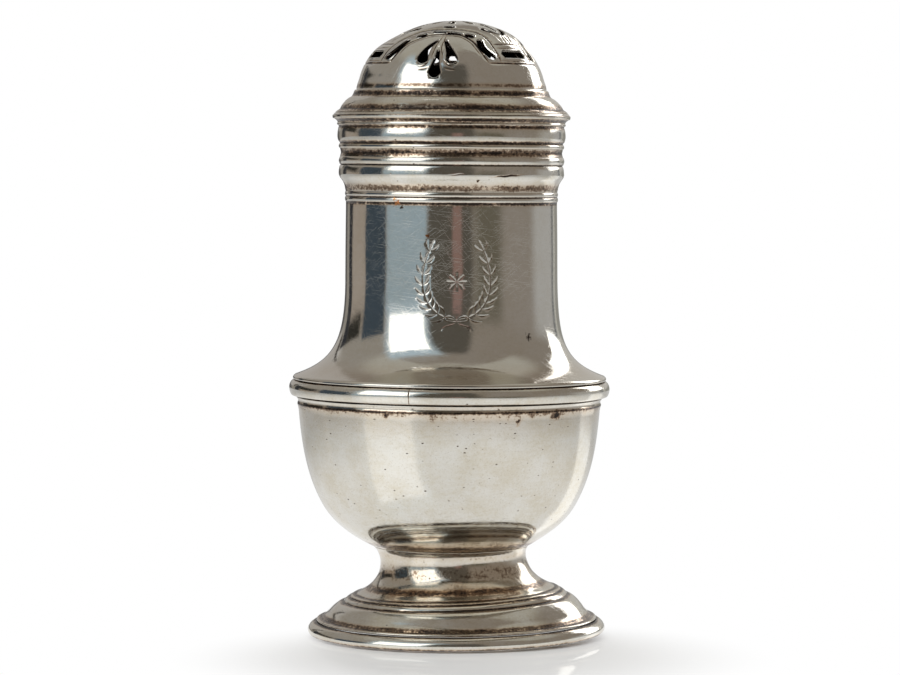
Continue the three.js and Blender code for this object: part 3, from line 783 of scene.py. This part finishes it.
def dome_sheet(holes, strokes):
    """The outer face laid flat: its vertices, its triangles without the holes, the holes' rims and the base.

    Loose points in rings about a third of a millimetre apart fill the room that the rims and cuts leave.
    """
    rims = [laid_flat(offset_outline(h, HOLE_EDGE)) for h in holes]
    base = dome_plane(around(360), np.zeros(360))
    outlines = [laid_flat(offset_outline(h, HOLE_EDGE + 0.05)) for h in holes]
    lines = [(rim, True) for rim in rims] + [(base, True)] + list(free_lines(strokes, outlines))
    samples = dome_point(*dome_unplane(np.vstack([p for p, _ in lines])))
    rows = []
    for up in np.radians(np.arange(1.2, 89.5, DOME_RINGS)):
        n = max(6, int(2 * math.pi * DOME_RADIUS * math.cos(up) / DOME_GRID))
        rows.append(np.c_[around(n) + up * 40, np.full(n, up)])
    grid = np.vstack(rows)
    loose = grid[nearest(dome_point(grid[:, 0], grid[:, 1]), samples)[0] > CLEAR_ON_DOME]
    flat, tris, runs = meshed(lines, dome_plane(loose[:, 0], loose[:, 1]))
    rim_runs, base_run = runs[: len(holes)], runs[len(holes)]
    centre = flat[tris].mean(1)
    gone = np.any([inside_polygon(centre, flat[run]) for run in rim_runs], axis=0)
    return flat, tris[~gone], rim_runs, base_run


def band_between(first, second):
    """Quads between two closed rows of vertex numbers."""
    after = np.roll(np.arange(len(first)), -1)
    return np.c_[first, first[after], second[after], second]


def pierced_dome():
    """The dome as a closed shell: a cut and pierced outer face, the inner face, the walls of base and holes.

    The wall of a hole starts as a softened edge, turns dark a little further in, painted shade as well as
    tarnish, and ends at the inner face.
    """
    holes, strokes = dome_pattern()
    flat, tris, rim_runs, base_run = dome_sheet(holes, strokes)
    az, up = dome_unplane(flat)
    outer = dome_point(az, up)
    depth = cut_depth(outer, strokes)
    outer = outer - normals_at(outer) * depth[:, None]
    count = len(flat)
    verts = [outer, dome_point(az, up, DOME_WALL)]
    soil_and_shade = [depth / ENGRAVED_DARK, np.full(count, 1.1)]
    uv = [flat, flat]
    total = 2 * count
    walls = [band_between(base_run, base_run + count)]
    for run, hole in zip(rim_runs, holes):
        n = len(run)
        normal = normals_at(hole)
        verts += [hole - normal * drop for drop in (EDGE_DROP, SHADE_DROP, DOME_WALL - EDGE_DROP)]
        # Past the softened edge the hole walls are painted dark: shade deep in the hole as well as tarnish
        soil_and_shade += [np.full(n, 0.15), np.full(n, 1.3), np.full(n, 1.3)]
        uv += [flat[run]] * 3
        rings = [run] + [total + k * n + np.arange(n) for k in range(3)] + [run + count]
        total += 3 * n
        strips = np.vstack([band_between(first, second) for first, second in zip(rings, rings[1:])])
        q = flat[run]
        area = np.sum(q[:, 0] * np.roll(q[:, 1], -1) - np.roll(q[:, 0], -1) * q[:, 1])
        walls.append(strips if area < 0 else strips[:, ::-1])
    faces = [np.vstack([tris, tris[:, ::-1] + count]), np.vstack(walls)]
    corner_uv = np.vstack(uv)[np.concatenate([f.ravel() for f in faces])]
    return np.vstack(verts), faces, corner_uv, np.concatenate(soil_and_shade)


# Materials


def add(tree, kind, inputs=None, output=0, **settings):
    """Adds a node with its settings, sets or links its inputs, and gives one of its outputs if it has any."""
    made = tree.nodes.new("ShaderNode" + kind)
    for key, value in settings.items():
        setattr(made, key, value)
    for key, value in (inputs or {}).items():
        if isinstance(value, bpy.types.NodeSocket):
            tree.links.new(value, made.inputs[key])
        else:
            made.inputs[key].default_value = value
    return made.outputs[output] if made.outputs else None


def empty_tree(owner):
    """The cleared node tree of a material or world."""
    owner.use_nodes = True
    owner.node_tree.nodes.clear()
    return owner.node_tree


# Colours of silver and of what has grown on it: clean, a thin yellowish film, the light tan edge of the
# tarnish, its grey-brown body, the near black of its deepest parts, and the dirt in the pits
CLEAN, FILM, RIM_TAN = linear("#dddbd4"), linear("#cbc2ad"), linear("#c4a47c")
TAN, BROWN, PIT = linear("#85715f"), linear("#281e18"), linear("#5a4a3a")

# Noises in space: size of a cell in mm, detail and roughness. The grain and the dots are coarser than real
# tarnish, which is too fine to show.
CLOUDS = (4.762, 4.0, 0.6)
GRAIN = (0.4348, 3.0, 0.6)
DOTS = (0.2174, 2.0, 0.6)
WAVES = (6.667, 1.0, 0.5)
RIPPLE = (1.5385, 1.0, 0.5)
# Patterns on the surface: length round the piece and height up it, in mm
STREAKS = (2.0, 0.625)
SCRATCH = (3.125, 0.1111)
PIT_SPACING = (0.909, 0.625)
LATHE_LINE = (33.33, 0.1818)
# Specks on the neck: azimuth, height, radius, size and colour
SPECKS = (
    (-30.5, 67.1, NECK_RADIUS, 0.5, "#b0703c"), (-31.5, 67.7, NECK_RADIUS, 0.3, "#b98a5c"),
    (-27.5, 66.4, NECK_RADIUS, 0.35, "#5a4636"), (-12.6, 62.2, NECK_RADIUS, 0.3, "#b0703c"),
    (43.5, 46.8, NECK_RADIUS + 1, 0.6, "#3a2f28"), (9, 48.2, NECK_RADIUS + 0.5, 0.25, "#3a2f28"),
)


def cells(along, up):
    """Mapping scale that gives a pattern cells this long round the piece and this high up it, in mm."""
    return (1 / along, 1 / up, 1.0)


def summed(new, start, parts):
    """A start value plus each pattern times its own amount."""
    for pattern, amount in parts:
        start = new("Math", {0: pattern, 1: amount, 2: start}, operation="MULTIPLY_ADD")
    return start


def tarnish(new, streaks, clouds, grain, soil_and_shade):
    """The warm edge, the tan body and the dark depth of the tarnish, each 0 to 1.

    The soil is swung up and down by streaks that run round the piece, slow clouds and a fine crisp grain. The
    body and the depth begin where the sum passes their levels; the soft warm edge follows the soil alone.
    """
    mottle = summed(new, -2.2, [(new("Math", {0: streaks, 1: clouds}), 2.2)])
    mottle = summed(new, mottle, [(new("Math", {0: grain, 1: -0.5}), 3.4)])
    swing = summed(new, 0.05, [(soil_and_shade, 0.6)])
    level = summed(new, soil_and_shade, [(mottle, swing)])
    warm = new("MapRange", {"Value": soil_and_shade, "From Min": 0.03, "From Max": 0.6, "To Max": 0.6})
    tan, dark = (
        new("MapRange", {"Value": level, "From Min": low, "From Max": high}, interpolation_type="SMOOTHSTEP")
        for low, high in ((0.34, 0.56), (0.58, 0.95))
    )
    return warm, tan, dark


def speck(new, where, grain, azimuth, height, radius, size):
    """One spot of dirt, 0 to 1: all that is near its place, with a ragged edge from the grain."""
    point = tuple(0.001 * bent(polar(math.radians(azimuth), radius, height))[0])
    away = new("VectorMath", {0: where, 1: point}, "Value", operation="DISTANCE")
    away = summed(new, away, [(grain, size * 0.0045)])
    return new("MapRange", {"Value": away, "From Min": size * 0.0034, "From Max": size * 0.0026})


def scratches(new, mm):
    """Fine scratches, 0 to 1: the peaks of long thin cells of noise, turned three ways."""
    lines = 0.0
    for turn, shift in ((0.12, 3.0), (0.9, 31.0), (-0.6, 57.0)):
        way = new("Mapping", {"Vector": mm, "Location": (shift, shift, 0), "Rotation": (0, 0, turn)})
        way = new("Mapping", {"Vector": way, "Scale": cells(*SCRATCH)})
        streak = new("TexNoise", {"Vector": way, "Scale": 1.0, "Detail": 0.0}, "Fac")
        line = new("MapRange", {"Value": streak, "From Min": 0.65, "From Max": 0.77})
        lines = new("Math", {0: lines, 1: line}, operation="MAXIMUM")
    return lines


def pitting(new, mm, clouds, grain, soil_and_shade, share):
    """Small ragged pits, 0 to 1: the middles of a share of Voronoi cells, more of them where soil is high."""
    cell = {"Vector": new("Mapping", {"Vector": mm, "Scale": cells(*PIT_SPACING)}), "Scale": 1.0}
    away = summed(new, new("TexVoronoi", cell, "Distance"), [(grain, 0.5)])
    near = new("MapRange", {"Value": away, "From Min": 0.42, "From Max": 0.3})
    rare = summed(new, 1.0, [(clouds, -2.0 * share), (soil_and_shade, -0.8)])
    pick = new("SeparateColor", {"Color": new("TexVoronoi", cell, "Color")})
    pick = new("Math", {0: pick, 1: rare}, operation="GREATER_THAN")
    return new("Math", {0: near, 1: pick}, operation="MULTIPLY")


def silver(name, rough, film, pits=0.0, turning=0.0, specks=()):
    """Old silver: a metal with fine scratches, small pits, a yellow film and tarnish where soil is high.

    turning is the height in mm of the fine lines left round the piece by its planishing and polishing; specks
    are single spots.
    """
    material = bpy.data.materials.new(name)
    tree = empty_tree(material)
    new = partial(add, tree)
    where = new("TexCoord", output="Object")
    mm = new("UVMap", uv_map="mm")
    soil_and_shade = new("Attribute", output="Fac", attribute_name="soil_and_shade")
    clouds, grain, dots, waves, ripple = (
        new("TexNoise", {"Vector": where, "Scale": 1000 / size, "Detail": detail, "Roughness": harsh}, "Fac")
        for size, detail, harsh in (CLOUDS, GRAIN, DOTS, WAVES, RIPPLE)
    )
    stretched = new("Mapping", {"Vector": mm, "Scale": cells(*STREAKS)})
    streaks = new("TexNoise", {"Vector": stretched, "Scale": 1.0, "Detail": 5.0, "Roughness": 0.65}, "Fac")

    # Colour: clean silver under the film and its dots, the stages of tarnish, the specks and the pits
    warm, tan, dark = tarnish(new, streaks, clouds, grain, soil_and_shade)
    haze = summed(new, 0.0, [(clouds, new("Math", {0: grain, 1: streaks}))])
    haze = {"Value": haze, "From Min": 0.34, "From Max": 0.7, "To Min": 0.12 * film, "To Max": film}
    dots = new("MapRange", {"Value": dots, "From Min": 0.58, "From Max": 0.78, "To Max": 0.5 * film})
    layers = [(new("MapRange", haze), FILM), (dots, TAN), (warm, RIM_TAN), (tan, TAN), (dark, BROWN)]
    layers += [(speck(new, where, grain, *place), linear(code)) for *place, code in specks]
    if pits:
        pit = pitting(new, mm, clouds, grain, soil_and_shade, pits)
        layers.append((pit, PIT))
    base = CLEAN
    for factor, colour in layers:
        base = new("Mix", {"Factor": factor, 6: base, 7: colour}, 2, data_type="RGBA")

    # Heights in mm: hammer waves, polishing ripple, scratches, grain, crust of the tarnish, lathe lines, pits
    lines = scratches(new, mm)
    crust = new("Math", {0: dark, 1: grain}, operation="MULTIPLY")
    relief = [(waves, 0.035), (ripple, 0.0035), (lines, -0.002), (grain, 0.0016), (crust, 0.008)]
    if turning:
        way = new("Mapping", {"Vector": mm, "Scale": cells(*LATHE_LINE)})
        relief.append((new("TexNoise", {"Vector": way, "Scale": 1.0, "Detail": 2.0}, "Fac"), turning))
    if pits:
        relief.append((pit, -0.02))
    surface = new("BsdfPrincipled", {
        "Base Color": base,
        "Metallic": summed(new, 1.0, [(dark, -0.3)]),
        "Roughness": summed(new, rough, [(lines, 0.1), (tan, 0.05), (dark, 0.12)]),
        "Normal": new("Bump", {"Strength": 1.0, "Distance": 0.001, "Height": summed(new, 0.0, relief)}),
    })
    new("OutputMaterial", {"Surface": surface})
    return material


# Where the tarnish lies

# The dark lines round the outside, from the dome down: height, half width and strength of each
SOIL_LINES = (
    (DOME_BASE + 0.6, 0.34, 0.55), (DOME_BASE - 0.63, 0.46, 0.9), (SHOULDER_BASE + 0.66, 0.6, 0.8),
    (SHOULDER_BASE + 0.5, 0.1, 1.4), (SHOULDER_BASE - 0.42, 0.06, 1.1), (FLANGE_BASE + 0.9, 0.3, 0.95),
    (FLANGE_BASE - 0.08, 0.32, 0.85), (BAND_BASE + 0.9, 0.28, 1.0), (COVER_BASE + 1.83, 0.62, 0.8),
    (COVER_BASE - 0.02, 0.12, 1.5), (STOP_BASE + 0.35, 0.7, 0.56), (REEDS[0][0] - 0.38, 0.11, 1.2),
    (REEDS[1][0] - 0.44, 0.12, 1.2), (REEDS[1][0] - 0.8, 0.3, 0.2), (GIRDLE_TOP + 1.7, 1.6, 0.2),
    (GIRDLE_TOP + 0.02, 0.11, 1.1), (BOWL_TOP + 0.2, 0.11, 1.1), (BOWL_TOP - 0.62, 0.26, 0.24),
    (BOWL_TOP - 1.0, 0.2, 1.0), (BOWL_TOP - 1.35, 0.65, 0.36), (BOWL_TOP - 2.2, 2.6, 0.14),
    (STEM_TOP + 0.6, 0.7, 0.62), (STEM_TOP - 0.9, 0.6, 0.28), (STEM_TOP - 2.8, 1.6, 0.36),
    (FOOT_TOP + 1.5, 0.5, 0.75), (FOOT_TOP + 0.4, 0.1, 1.0), (FOOT_TOP, 0.16, 1.0),
    (FOOT_TOP - 0.74, 0.14, 1.2), (RIM_TOP + 0.75, 0.3, 0.75), (RIM_TOP + 0.5, 0.12, 0.9),
    (RIM_TOP - 0.02, 0.16, 1.4), (0.1, 0.35, 0.8),
)
# Dark patches under the lip of the bowl, and the haze along its front: azimuth, height, half width, strength
SOIL_SPOTS = (
    (44, BOWL_TOP - 1.5, 0.8, 1.2), (42, BOWL_TOP - 1.7, 0.5, 1.2), (32, BOWL_TOP - 1.2, 0.7, 0.8),
    (26.5, BOWL_TOP - 2.3, 0.36, 1.3), (25.9, BOWL_TOP - 2.9, 0.2, 1.1), (-24, BOWL_TOP - 1.4, 0.5, 1.1),
    (7, BOWL_TOP - 1.7, 0.35, 0.9), (62, BOWL_TOP - 1.2, 0.8, 0.6),
    *((azimuth, BOWL_TOP - 1.4, 1.5, 0.42) for azimuth in range(-6, 29, 4)),
)


def soil_at(p):
    """How much tarnish lies at each point: the strongest of the bell curves round the lines and spots."""
    total = np.zeros(len(p))
    for height, half, strength in SOIL_LINES:
        total = np.maximum(total, strength * np.exp(-(((p[:, 2] - height) / half) ** 2)))
    for azimuth, height, half, strength in SOIL_SPOTS:
        away = np.linalg.norm(p - polar(math.radians(azimuth), BOWL_RADIUS, height), axis=1)
        total = np.maximum(total, strength * np.exp(-((away / half) ** 2)))
    return total


def dress(name, model, body, node, material, extra=None):
    """Makes a piece from its model, with its tarnish and any painted shade, material, body and the solid it
    stands for.
    """
    verts, faces, uv, cut = model
    obj = make_mesh(name, bent(verts), faces, uv)
    soil_and_shade = np.maximum(soil_at(verts), cut)
    if extra is not None:
        soil_and_shade = np.maximum(soil_and_shade, extra(verts))
    obj.data.attributes.new("soil_and_shade", "FLOAT", "POINT").data.foreach_set("value", soil_and_shade.astype(np.float32))
    obj.data.materials.append(material)
    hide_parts(node)
    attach(obj, body)


def hammered(az, r, z):
    """Hand-raised unevenness: a few slow waves round and up the wall, under a twentieth of a millimetre."""
    wave = 0.016 * np.sin(3 * az + 0.21 * z) + 0.010 * np.sin(7 * az - 0.37 * z + 1.0)
    return r + wave + 0.008 * np.sin(2 * az + 0.55 * z + 2.2), z


def worn(az, r, z):
    """The mouldings are drawn by hand and worn: they wander by a few hundredths of a millimetre."""
    drift = 0.022 * np.sin(5 * az + 1.7 * z) + 0.014 * np.sin(13 * az + 0.9 * z + 2.0)
    return r + 0.6 * drift, z + drift * 0.9


# Small blows on the neck wire: azimuth, height, half length, half width and depth
NICKS = (
    (2.5, STOP_TOP - 1.35, 0.9, 0.07, 0.05),
    (13.5, STOP_TOP - 2.35, 0.15, 0.15, 0.08),
    (29.5, STOP_TOP - 1.5, 1.9, 0.12, 0.06),
)


def blow(azimuths, z, nick):
    """How deep the blow is at some azimuths in radians and heights: a bell over a stretched, wavy patch."""
    azimuth, height, long, wide, _ = nick
    along = (azimuths - math.radians(azimuth)) * STOP_RADIUS
    middle = height + 0.05 * np.sin(3.1 * along) + 0.08 * along
    return np.exp(-((along / long) ** 2) - ((z - middle) / wide) ** 2)


def nicked(az, r, z):
    """The worn wire with its nicks, in its outer face only."""
    new_r, new_z = worn(az, r, z)
    for nick in NICKS:
        new_r = new_r - nick[-1] * blow(az, z, nick) * (r > STOP_RADIUS - 0.6)
    return new_r, new_z


def nick_soil(p):
    """Tarnish in the nicks of the neck wire, but not in the first, which is bright."""
    azimuths = np.arctan2(p[:, 0], -p[:, 1])
    return np.max([1.5 * blow(azimuths, p[:, 2], nick) for nick in NICKS[1:]], axis=0)


def jointed(az, r, z):
    """The worn waist wire with its butt joint: a narrow notch at one azimuth, in its outer face only."""
    new_r, new_z = worn(az, r, z)
    notch = np.exp(-(((az - math.radians(SEAM_AZIMUTH)) * GIRDLE_RADIUS / 0.06) ** 2))
    return new_r - 0.07 * np.clip((r - BOWL_RADIUS + 0.3) / 0.6, 0, 1) * notch, new_z


def joint_soil(p):
    """Tarnish in the butt joint of the waist wire."""
    away = (np.degrees(np.arctan2(p[:, 0], -p[:, 1])) - SEAM_AZIMUTH) / 0.14
    return 0.85 * np.exp(-(away**2))


def build_pieces():
    """Makes the thirteen pieces of silver."""
    # Hand-rubbed old silver: close to a mirror, with hair scratches and a few specks
    plain = silver("polished_silver_worn", 0.06, film=0.3, specks=SPECKS)
    # Hammered and polished silver, etched by salt: a softer mirror with pits and faint lines round it
    pitted = silver("silver_polished_pitted", 0.08, film=0.62, pits=0.19, turning=0.0016)
    # Drawn silver wire: bright on the ridges that cloths reach, brown in the hollows that they miss
    moulded = silver("silver_moulding_tarnished", 0.09, film=0.6, pits=0.05)
    mouldings = (
        ("rim_wire", "body", "foot_rim_wire", foot_rim_wire()),
        ("foot_swell", "body", "foot_dome", foot_dome()),
        ("stem", "body", "foot_stem", foot_stem()),
        ("sleeve", "cover", "cover_sleeve", cover_sleeve()),
        ("sleeve_bead", "cover", "sleeve_edge_wire", sleeve_edge_wire()),
        ("wide_band", "cover", "sleeve_band", sleeve_band()),
        ("sharp_flange", "cover", "cover_flange_wire", cover_flange_wire()),
        ("stepped_shoulder", "cover", "cover_shoulder", cover_shoulder()),
    )
    for name, body, node, profile in mouldings:
        shape = None if name == "sleeve" else worn
        dress(name, turned(profile, shape=shape), body, node, moulded)
    stop = turned(neck_wire(), step=0.11, az=around(720), shape=nicked)
    dress("stop_wire", stop, "body", "neck_wire", moulded, extra=nick_soil)
    waist = turned(girdle_wire(), az=around(seam=SEAM_AZIMUTH), shape=jointed)
    dress("waist_wire", waist, "body", "girdle_wire", moulded, extra=joint_soil)
    round_bowl = turned(bowl(), step=COARSE_STEP, shape=hammered)
    dress("round_bowl", round_bowl, "body", "bowl", pitted)
    flared = turned(upper_body(), step=COARSE_STEP, shape=hammered, engraving=WREATH_PLACE + (wreath(),))
    flared = flared[:3] + (flared[3] / ENGRAVED_DARK,)
    dress("flared_body", flared, "body", "upper_body", plain)
    dress("pierced_dome", pierced_dome(), "cover", "cover_dome", plain)


build_pieces()


# Stage

# The studio as polished metal sees it, besides the plain room: soft-edged cards in the order they cover each
# other. Each is the azimuth of its middle and half its width, its lowest and highest elevation and the width
# of its soft edges, all in degrees, how far it leans to the right for each degree up, its colour and its
# strength. PANELS are flat softboxes, which take in more degrees of azimuth the higher they reach.
ROOM = "#8f877f"
CARDS = (
    (-90, 70, 14, 72, 16, 0.0, "#9c9791", 1.0),
    (180, 100, 48, 90, 14, 0.0, "#b3b0a8", 1.0),
    (-2, 25, -40, 54, 9, 0.0, "#5b5751", 1.0),
    (-51, 23.5, -40, 8, 5, 0.0, "#9fb0bb", 1.0),
    (-92, 16, -40, 20, 4, 0.0, "#424d58", 1.0),
    (-122, 14.5, -40, 5, 4, 0.0, "#a59b92", 1.0),
    (-125, 12, 5, 16, 4, 0.0, "#33322e", 1.0),
    (42, 16, -40, 10, 16, 0.0, "#6c675c", 1.0),
    (84, 27, -40, 12, 18, 0.0, "#948d87", 1.0),
    (122, 22, -40, 12, 16, 0.0, "#b4b3b2", 1.0),
    (180, 36, -40, 26, 12, 0.0, "#c4c1be", 1.0),
    (-142, 5.5, -40, 16, 3, 0.0, "#35363a", 1.0),
    (-152.5, 5, -40, 16, 3, 0.0, "#96918a", 1.0),
    (-168, 11, -40, 3, 4, 0.0, "#5e5c5b", 1.0),
    (-168, 14, 4, 34, 4, 0.0, "#b3afab", 1.0),
    (-151.5, 1.8, 6, 26, 2, 0.0, "#3a3531", 1.0),
    (143, 3.5, -40, 14, 3, 0.0, "#7d7f80", 1.0),
    (149, 3, -40, 14, 2, 0.0, "#c0bfba", 1.0),
    (166, 14, -40, 3, 3, 0.0, "#96958f", 1.0),
    (167, 13, 4, 30, 4, 0.0, "#c4c1bc", 1.0),
    (6, 5, -40, 8, 3, 0.0, "#8f7670", 1.0),
    (0, 181, 80, 100, 8, 0.0, "#a8a49b", 1.0),
)
PANELS = (
    (-49, 23, 5, 58, 10, 0.0, "#b9cbd8", 1.0),
    (-49, 19, 9, 46, 3, 0.0, "#ffffff", 2.0),
    (129, 12.5, 8, 36.5, 4, 0.58, "#ffffff", 3.2),
    (-128, 1.3, 72.5, 81, 1.5, 0.0, "#ffffff", 1.4),
)
# Strength of the plain light that the room gives to everything but mirrors
ROOM_LIGHT = 0.7
WHITE = (1, 1, 1, 1)
BOARD = "#f6f6f5"
TABLE_RADIUS = 700.0
TABLE_TOP = -0.02
# The middle of the shadow, and how far from it the table starts to fade to white and is white, in metres
SHADOW_PLACE = (0.003, -0.027, 0.0)
SHADOW_FADE = (0.016, 0.046)
# Painted glow of the table in mirrors: from how near to how far from there it dims, in metres, and how bright
MIRROR_FADE, MIRROR_LIGHT = (0.07, 0.24), (1.08, 0.5)
# The share of mirrored rays that see an even painted glow in place of the lit board,
# and the share and roughness of its own gloss
EVEN_SHARE, GLOSS_SHARE, GLOSS_ROUGHNESS = 0.8, 0.15, 0.04
# The height that the lamps look at, in metres
LAMP_TARGET = 0.045


def card_mask(new, azimuth, elevation, narrow, place):
    """Where one card shows, 0 to 1: inside its azimuths and its elevations, with soft edges.

    narrow is 1, or the cosine of the elevation for a flat panel, whose azimuths spread with height.
    """
    middle, half, low, high, soft, lean = place
    shift = summed(new, -middle, [(elevation, -lean)])
    side = new("Math", {0: new("Math", {0: azimuth, 1: shift}), 1: 180.0, 2: -180.0}, operation="WRAP")
    side = new("Math", {0: new("Math", {0: side}, operation="ABSOLUTE"), 1: narrow}, operation="MULTIPLY")
    over = new("Math", {0: new("Math", {0: elevation, 1: -(low + high) / 2})}, operation="ABSOLUTE")
    across, along = (
        new("MapRange", {"Value": away, "From Min": size + soft / 2, "From Max": size - soft / 2},
            interpolation_type="SMOOTHSTEP")
        for away, size in ((side, half), (over, (high - low) / 2))
    )
    return new("Math", {0: across, 1: along}, operation="MULTIPLY")


def studio_world():
    """White for the camera, the studio for reflections, plain light for the rest."""
    world = bpy.data.worlds.new("studio")
    bpy.context.scene.world = world
    tree = empty_tree(world)
    new = partial(add, tree)
    way = new("TexCoord", output="Generated")
    x, y, z = (new("SeparateXYZ", {"Vector": way}, k) for k in range(3))
    turn = new("Math", {0: x, 1: new("Math", {0: y, 1: -1.0}, operation="MULTIPLY")}, operation="ARCTAN2")
    azimuth = new("Math", {0: turn}, operation="DEGREES")
    up = new("Math", {0: z}, operation="ARCSINE")
    elevation = new("Math", {0: up}, operation="DEGREES")
    level = new("Math", {0: up}, operation="COSINE")
    room = linear(ROOM)
    for cards, narrow in ((CARDS, 1.0), (PANELS, level)):
        for *place, code, strength in cards:
            card = card_mask(new, azimuth, elevation, narrow, place)
            room = new("Mix", {"Factor": card, 6: room, 7: linear(code, strength)}, 2, data_type="RGBA")
    glossy = new("LightPath", output="Is Glossy Ray")
    through = new("LightPath", output="Is Transmission Ray")
    mirrored_ray = new("Math", {0: glossy, 1: through}, operation="MAXIMUM")
    studio = new("Background", {"Color": room, "Strength": 1.0})
    plain = new("Background", {"Color": WHITE, "Strength": ROOM_LIGHT})
    white = new("Background", {"Color": WHITE, "Strength": 1.0})
    seen = new("MixShader", {0: mirrored_ray, 1: plain, 2: studio})
    seen = new("MixShader", {0: new("LightPath", output="Is Camera Ray"), 1: seen, 2: white})
    new("OutputWorld", {"Surface": seen})


def area_lamp(name, azimuth, elevation, distance, width, height, power):
    """A rectangular softbox that looks at the middle of the caster, and that metal does not mirror.

    azimuth and elevation are in degrees, the sizes in metres and the power in watts.
    """
    data = bpy.data.lights.new(name, "AREA")
    data.shape = "RECTANGLE"
    data.size = width
    data.size_y = height
    data.energy = power
    lamp = bpy.data.objects.new(name, data)
    lamp.visible_glossy = False
    az, up = math.radians(azimuth), math.radians(elevation)
    way = Vector((math.sin(az) * math.cos(up), -math.cos(az) * math.cos(up), math.sin(up)))
    lamp.location = Vector((0, 0, LAMP_TARGET)) + way * distance
    lamp.rotation_euler = way.to_track_quat("Z", "Y").to_euler()
    bpy.context.scene.collection.objects.link(lamp)


def white_table():
    """Lacquered white board with a low gloss: paper white, with a soft mirror of the foot.

    The camera sees it only round the caster's shadow, past which it fades to plain white. Glossy rays mostly
    see a painted glow in place of its lit colour, strong near the caster and dimmer far away.
    """
    material = bpy.data.materials.new("white_table")
    tree = empty_tree(material)
    new = partial(add, tree)
    where = new("TexCoord", output="Object")
    away = new("VectorMath", {0: where, 1: SHADOW_PLACE}, "Value", operation="DISTANCE")
    fade = {"Value": away, "From Min": SHADOW_FADE[0], "From Max": SHADOW_FADE[1]}
    fade = new("MapRange", fade, interpolation_type="SMOOTHSTEP")
    fade = new("Math", {0: fade, 1: new("LightPath", output="Is Camera Ray")}, operation="MULTIPLY")
    matt = new("BsdfDiffuse", {"Color": linear(BOARD)})
    gloss = new("BsdfGlossy", {"Color": linear(BOARD), "Roughness": GLOSS_ROUGHNESS})
    light = {"From Min": MIRROR_FADE[0], "From Max": MIRROR_FADE[1]}
    light |= {"Value": away, "To Min": MIRROR_LIGHT[0], "To Max": MIRROR_LIGHT[1]}
    # Painted glow: for mirrors the board shines by itself, strong near the caster and dimmer far away
    painted_glow = new("Emission", {"Color": WHITE, "Strength": new("MapRange", light)})
    share = new("Math", {0: new("LightPath", output="Is Glossy Ray"), 1: EVEN_SHARE}, operation="MULTIPLY")
    surface = new("MixShader", {0: GLOSS_SHARE, 1: new("MixShader", {0: share, 1: matt, 2: painted_glow}), 2: gloss})
    white = new("Emission", {"Color": WHITE, "Strength": 1.0})
    new("OutputMaterial", {"Surface": new("MixShader", {0: fade, 1: surface, 2: white})})
    return material


def table_top():
    """A round table, a fan of triangles just under the foot."""
    n = 128
    verts = np.vstack([polar(around(n), TABLE_RADIUS, np.full(n, TABLE_TOP)), [[0, 0, TABLE_TOP]]])
    k = np.arange(n)
    table = make_mesh("table_top", verts, [np.c_[np.full(n, n), k, (k + 1) % n]])
    table.data.materials.append(white_table())


def set_camera():
    """A long lens well back, a little above the cover's edge."""
    data = bpy.data.cameras.new("camera")
    data.lens = CAMERA_LENS
    data.sensor_width = CAMERA_SENSOR
    data.clip_start = 0.01
    camera = bpy.data.objects.new("camera", data)
    camera.location = (CAMERA_SHIFT * 0.001, -CAMERA_DISTANCE * 0.001, CAMERA_HEIGHT * 0.001)
    camera.rotation_euler = (math.radians(90 - CAMERA_PITCH), 0, 0)
    bpy.context.scene.collection.objects.link(camera)
    bpy.context.scene.camera = camera


studio_world()
area_lamp("left_softbox", azimuth=-48, elevation=48, distance=0.62, width=0.44, height=0.8, power=0.9)
area_lamp("backdrop", azimuth=172, elevation=32, distance=0.8, width=0.9, height=0.5, power=2.6)
table_top()
set_camera()
bpy.context.scene.view_settings.view_transform = "Standard"

write_size()
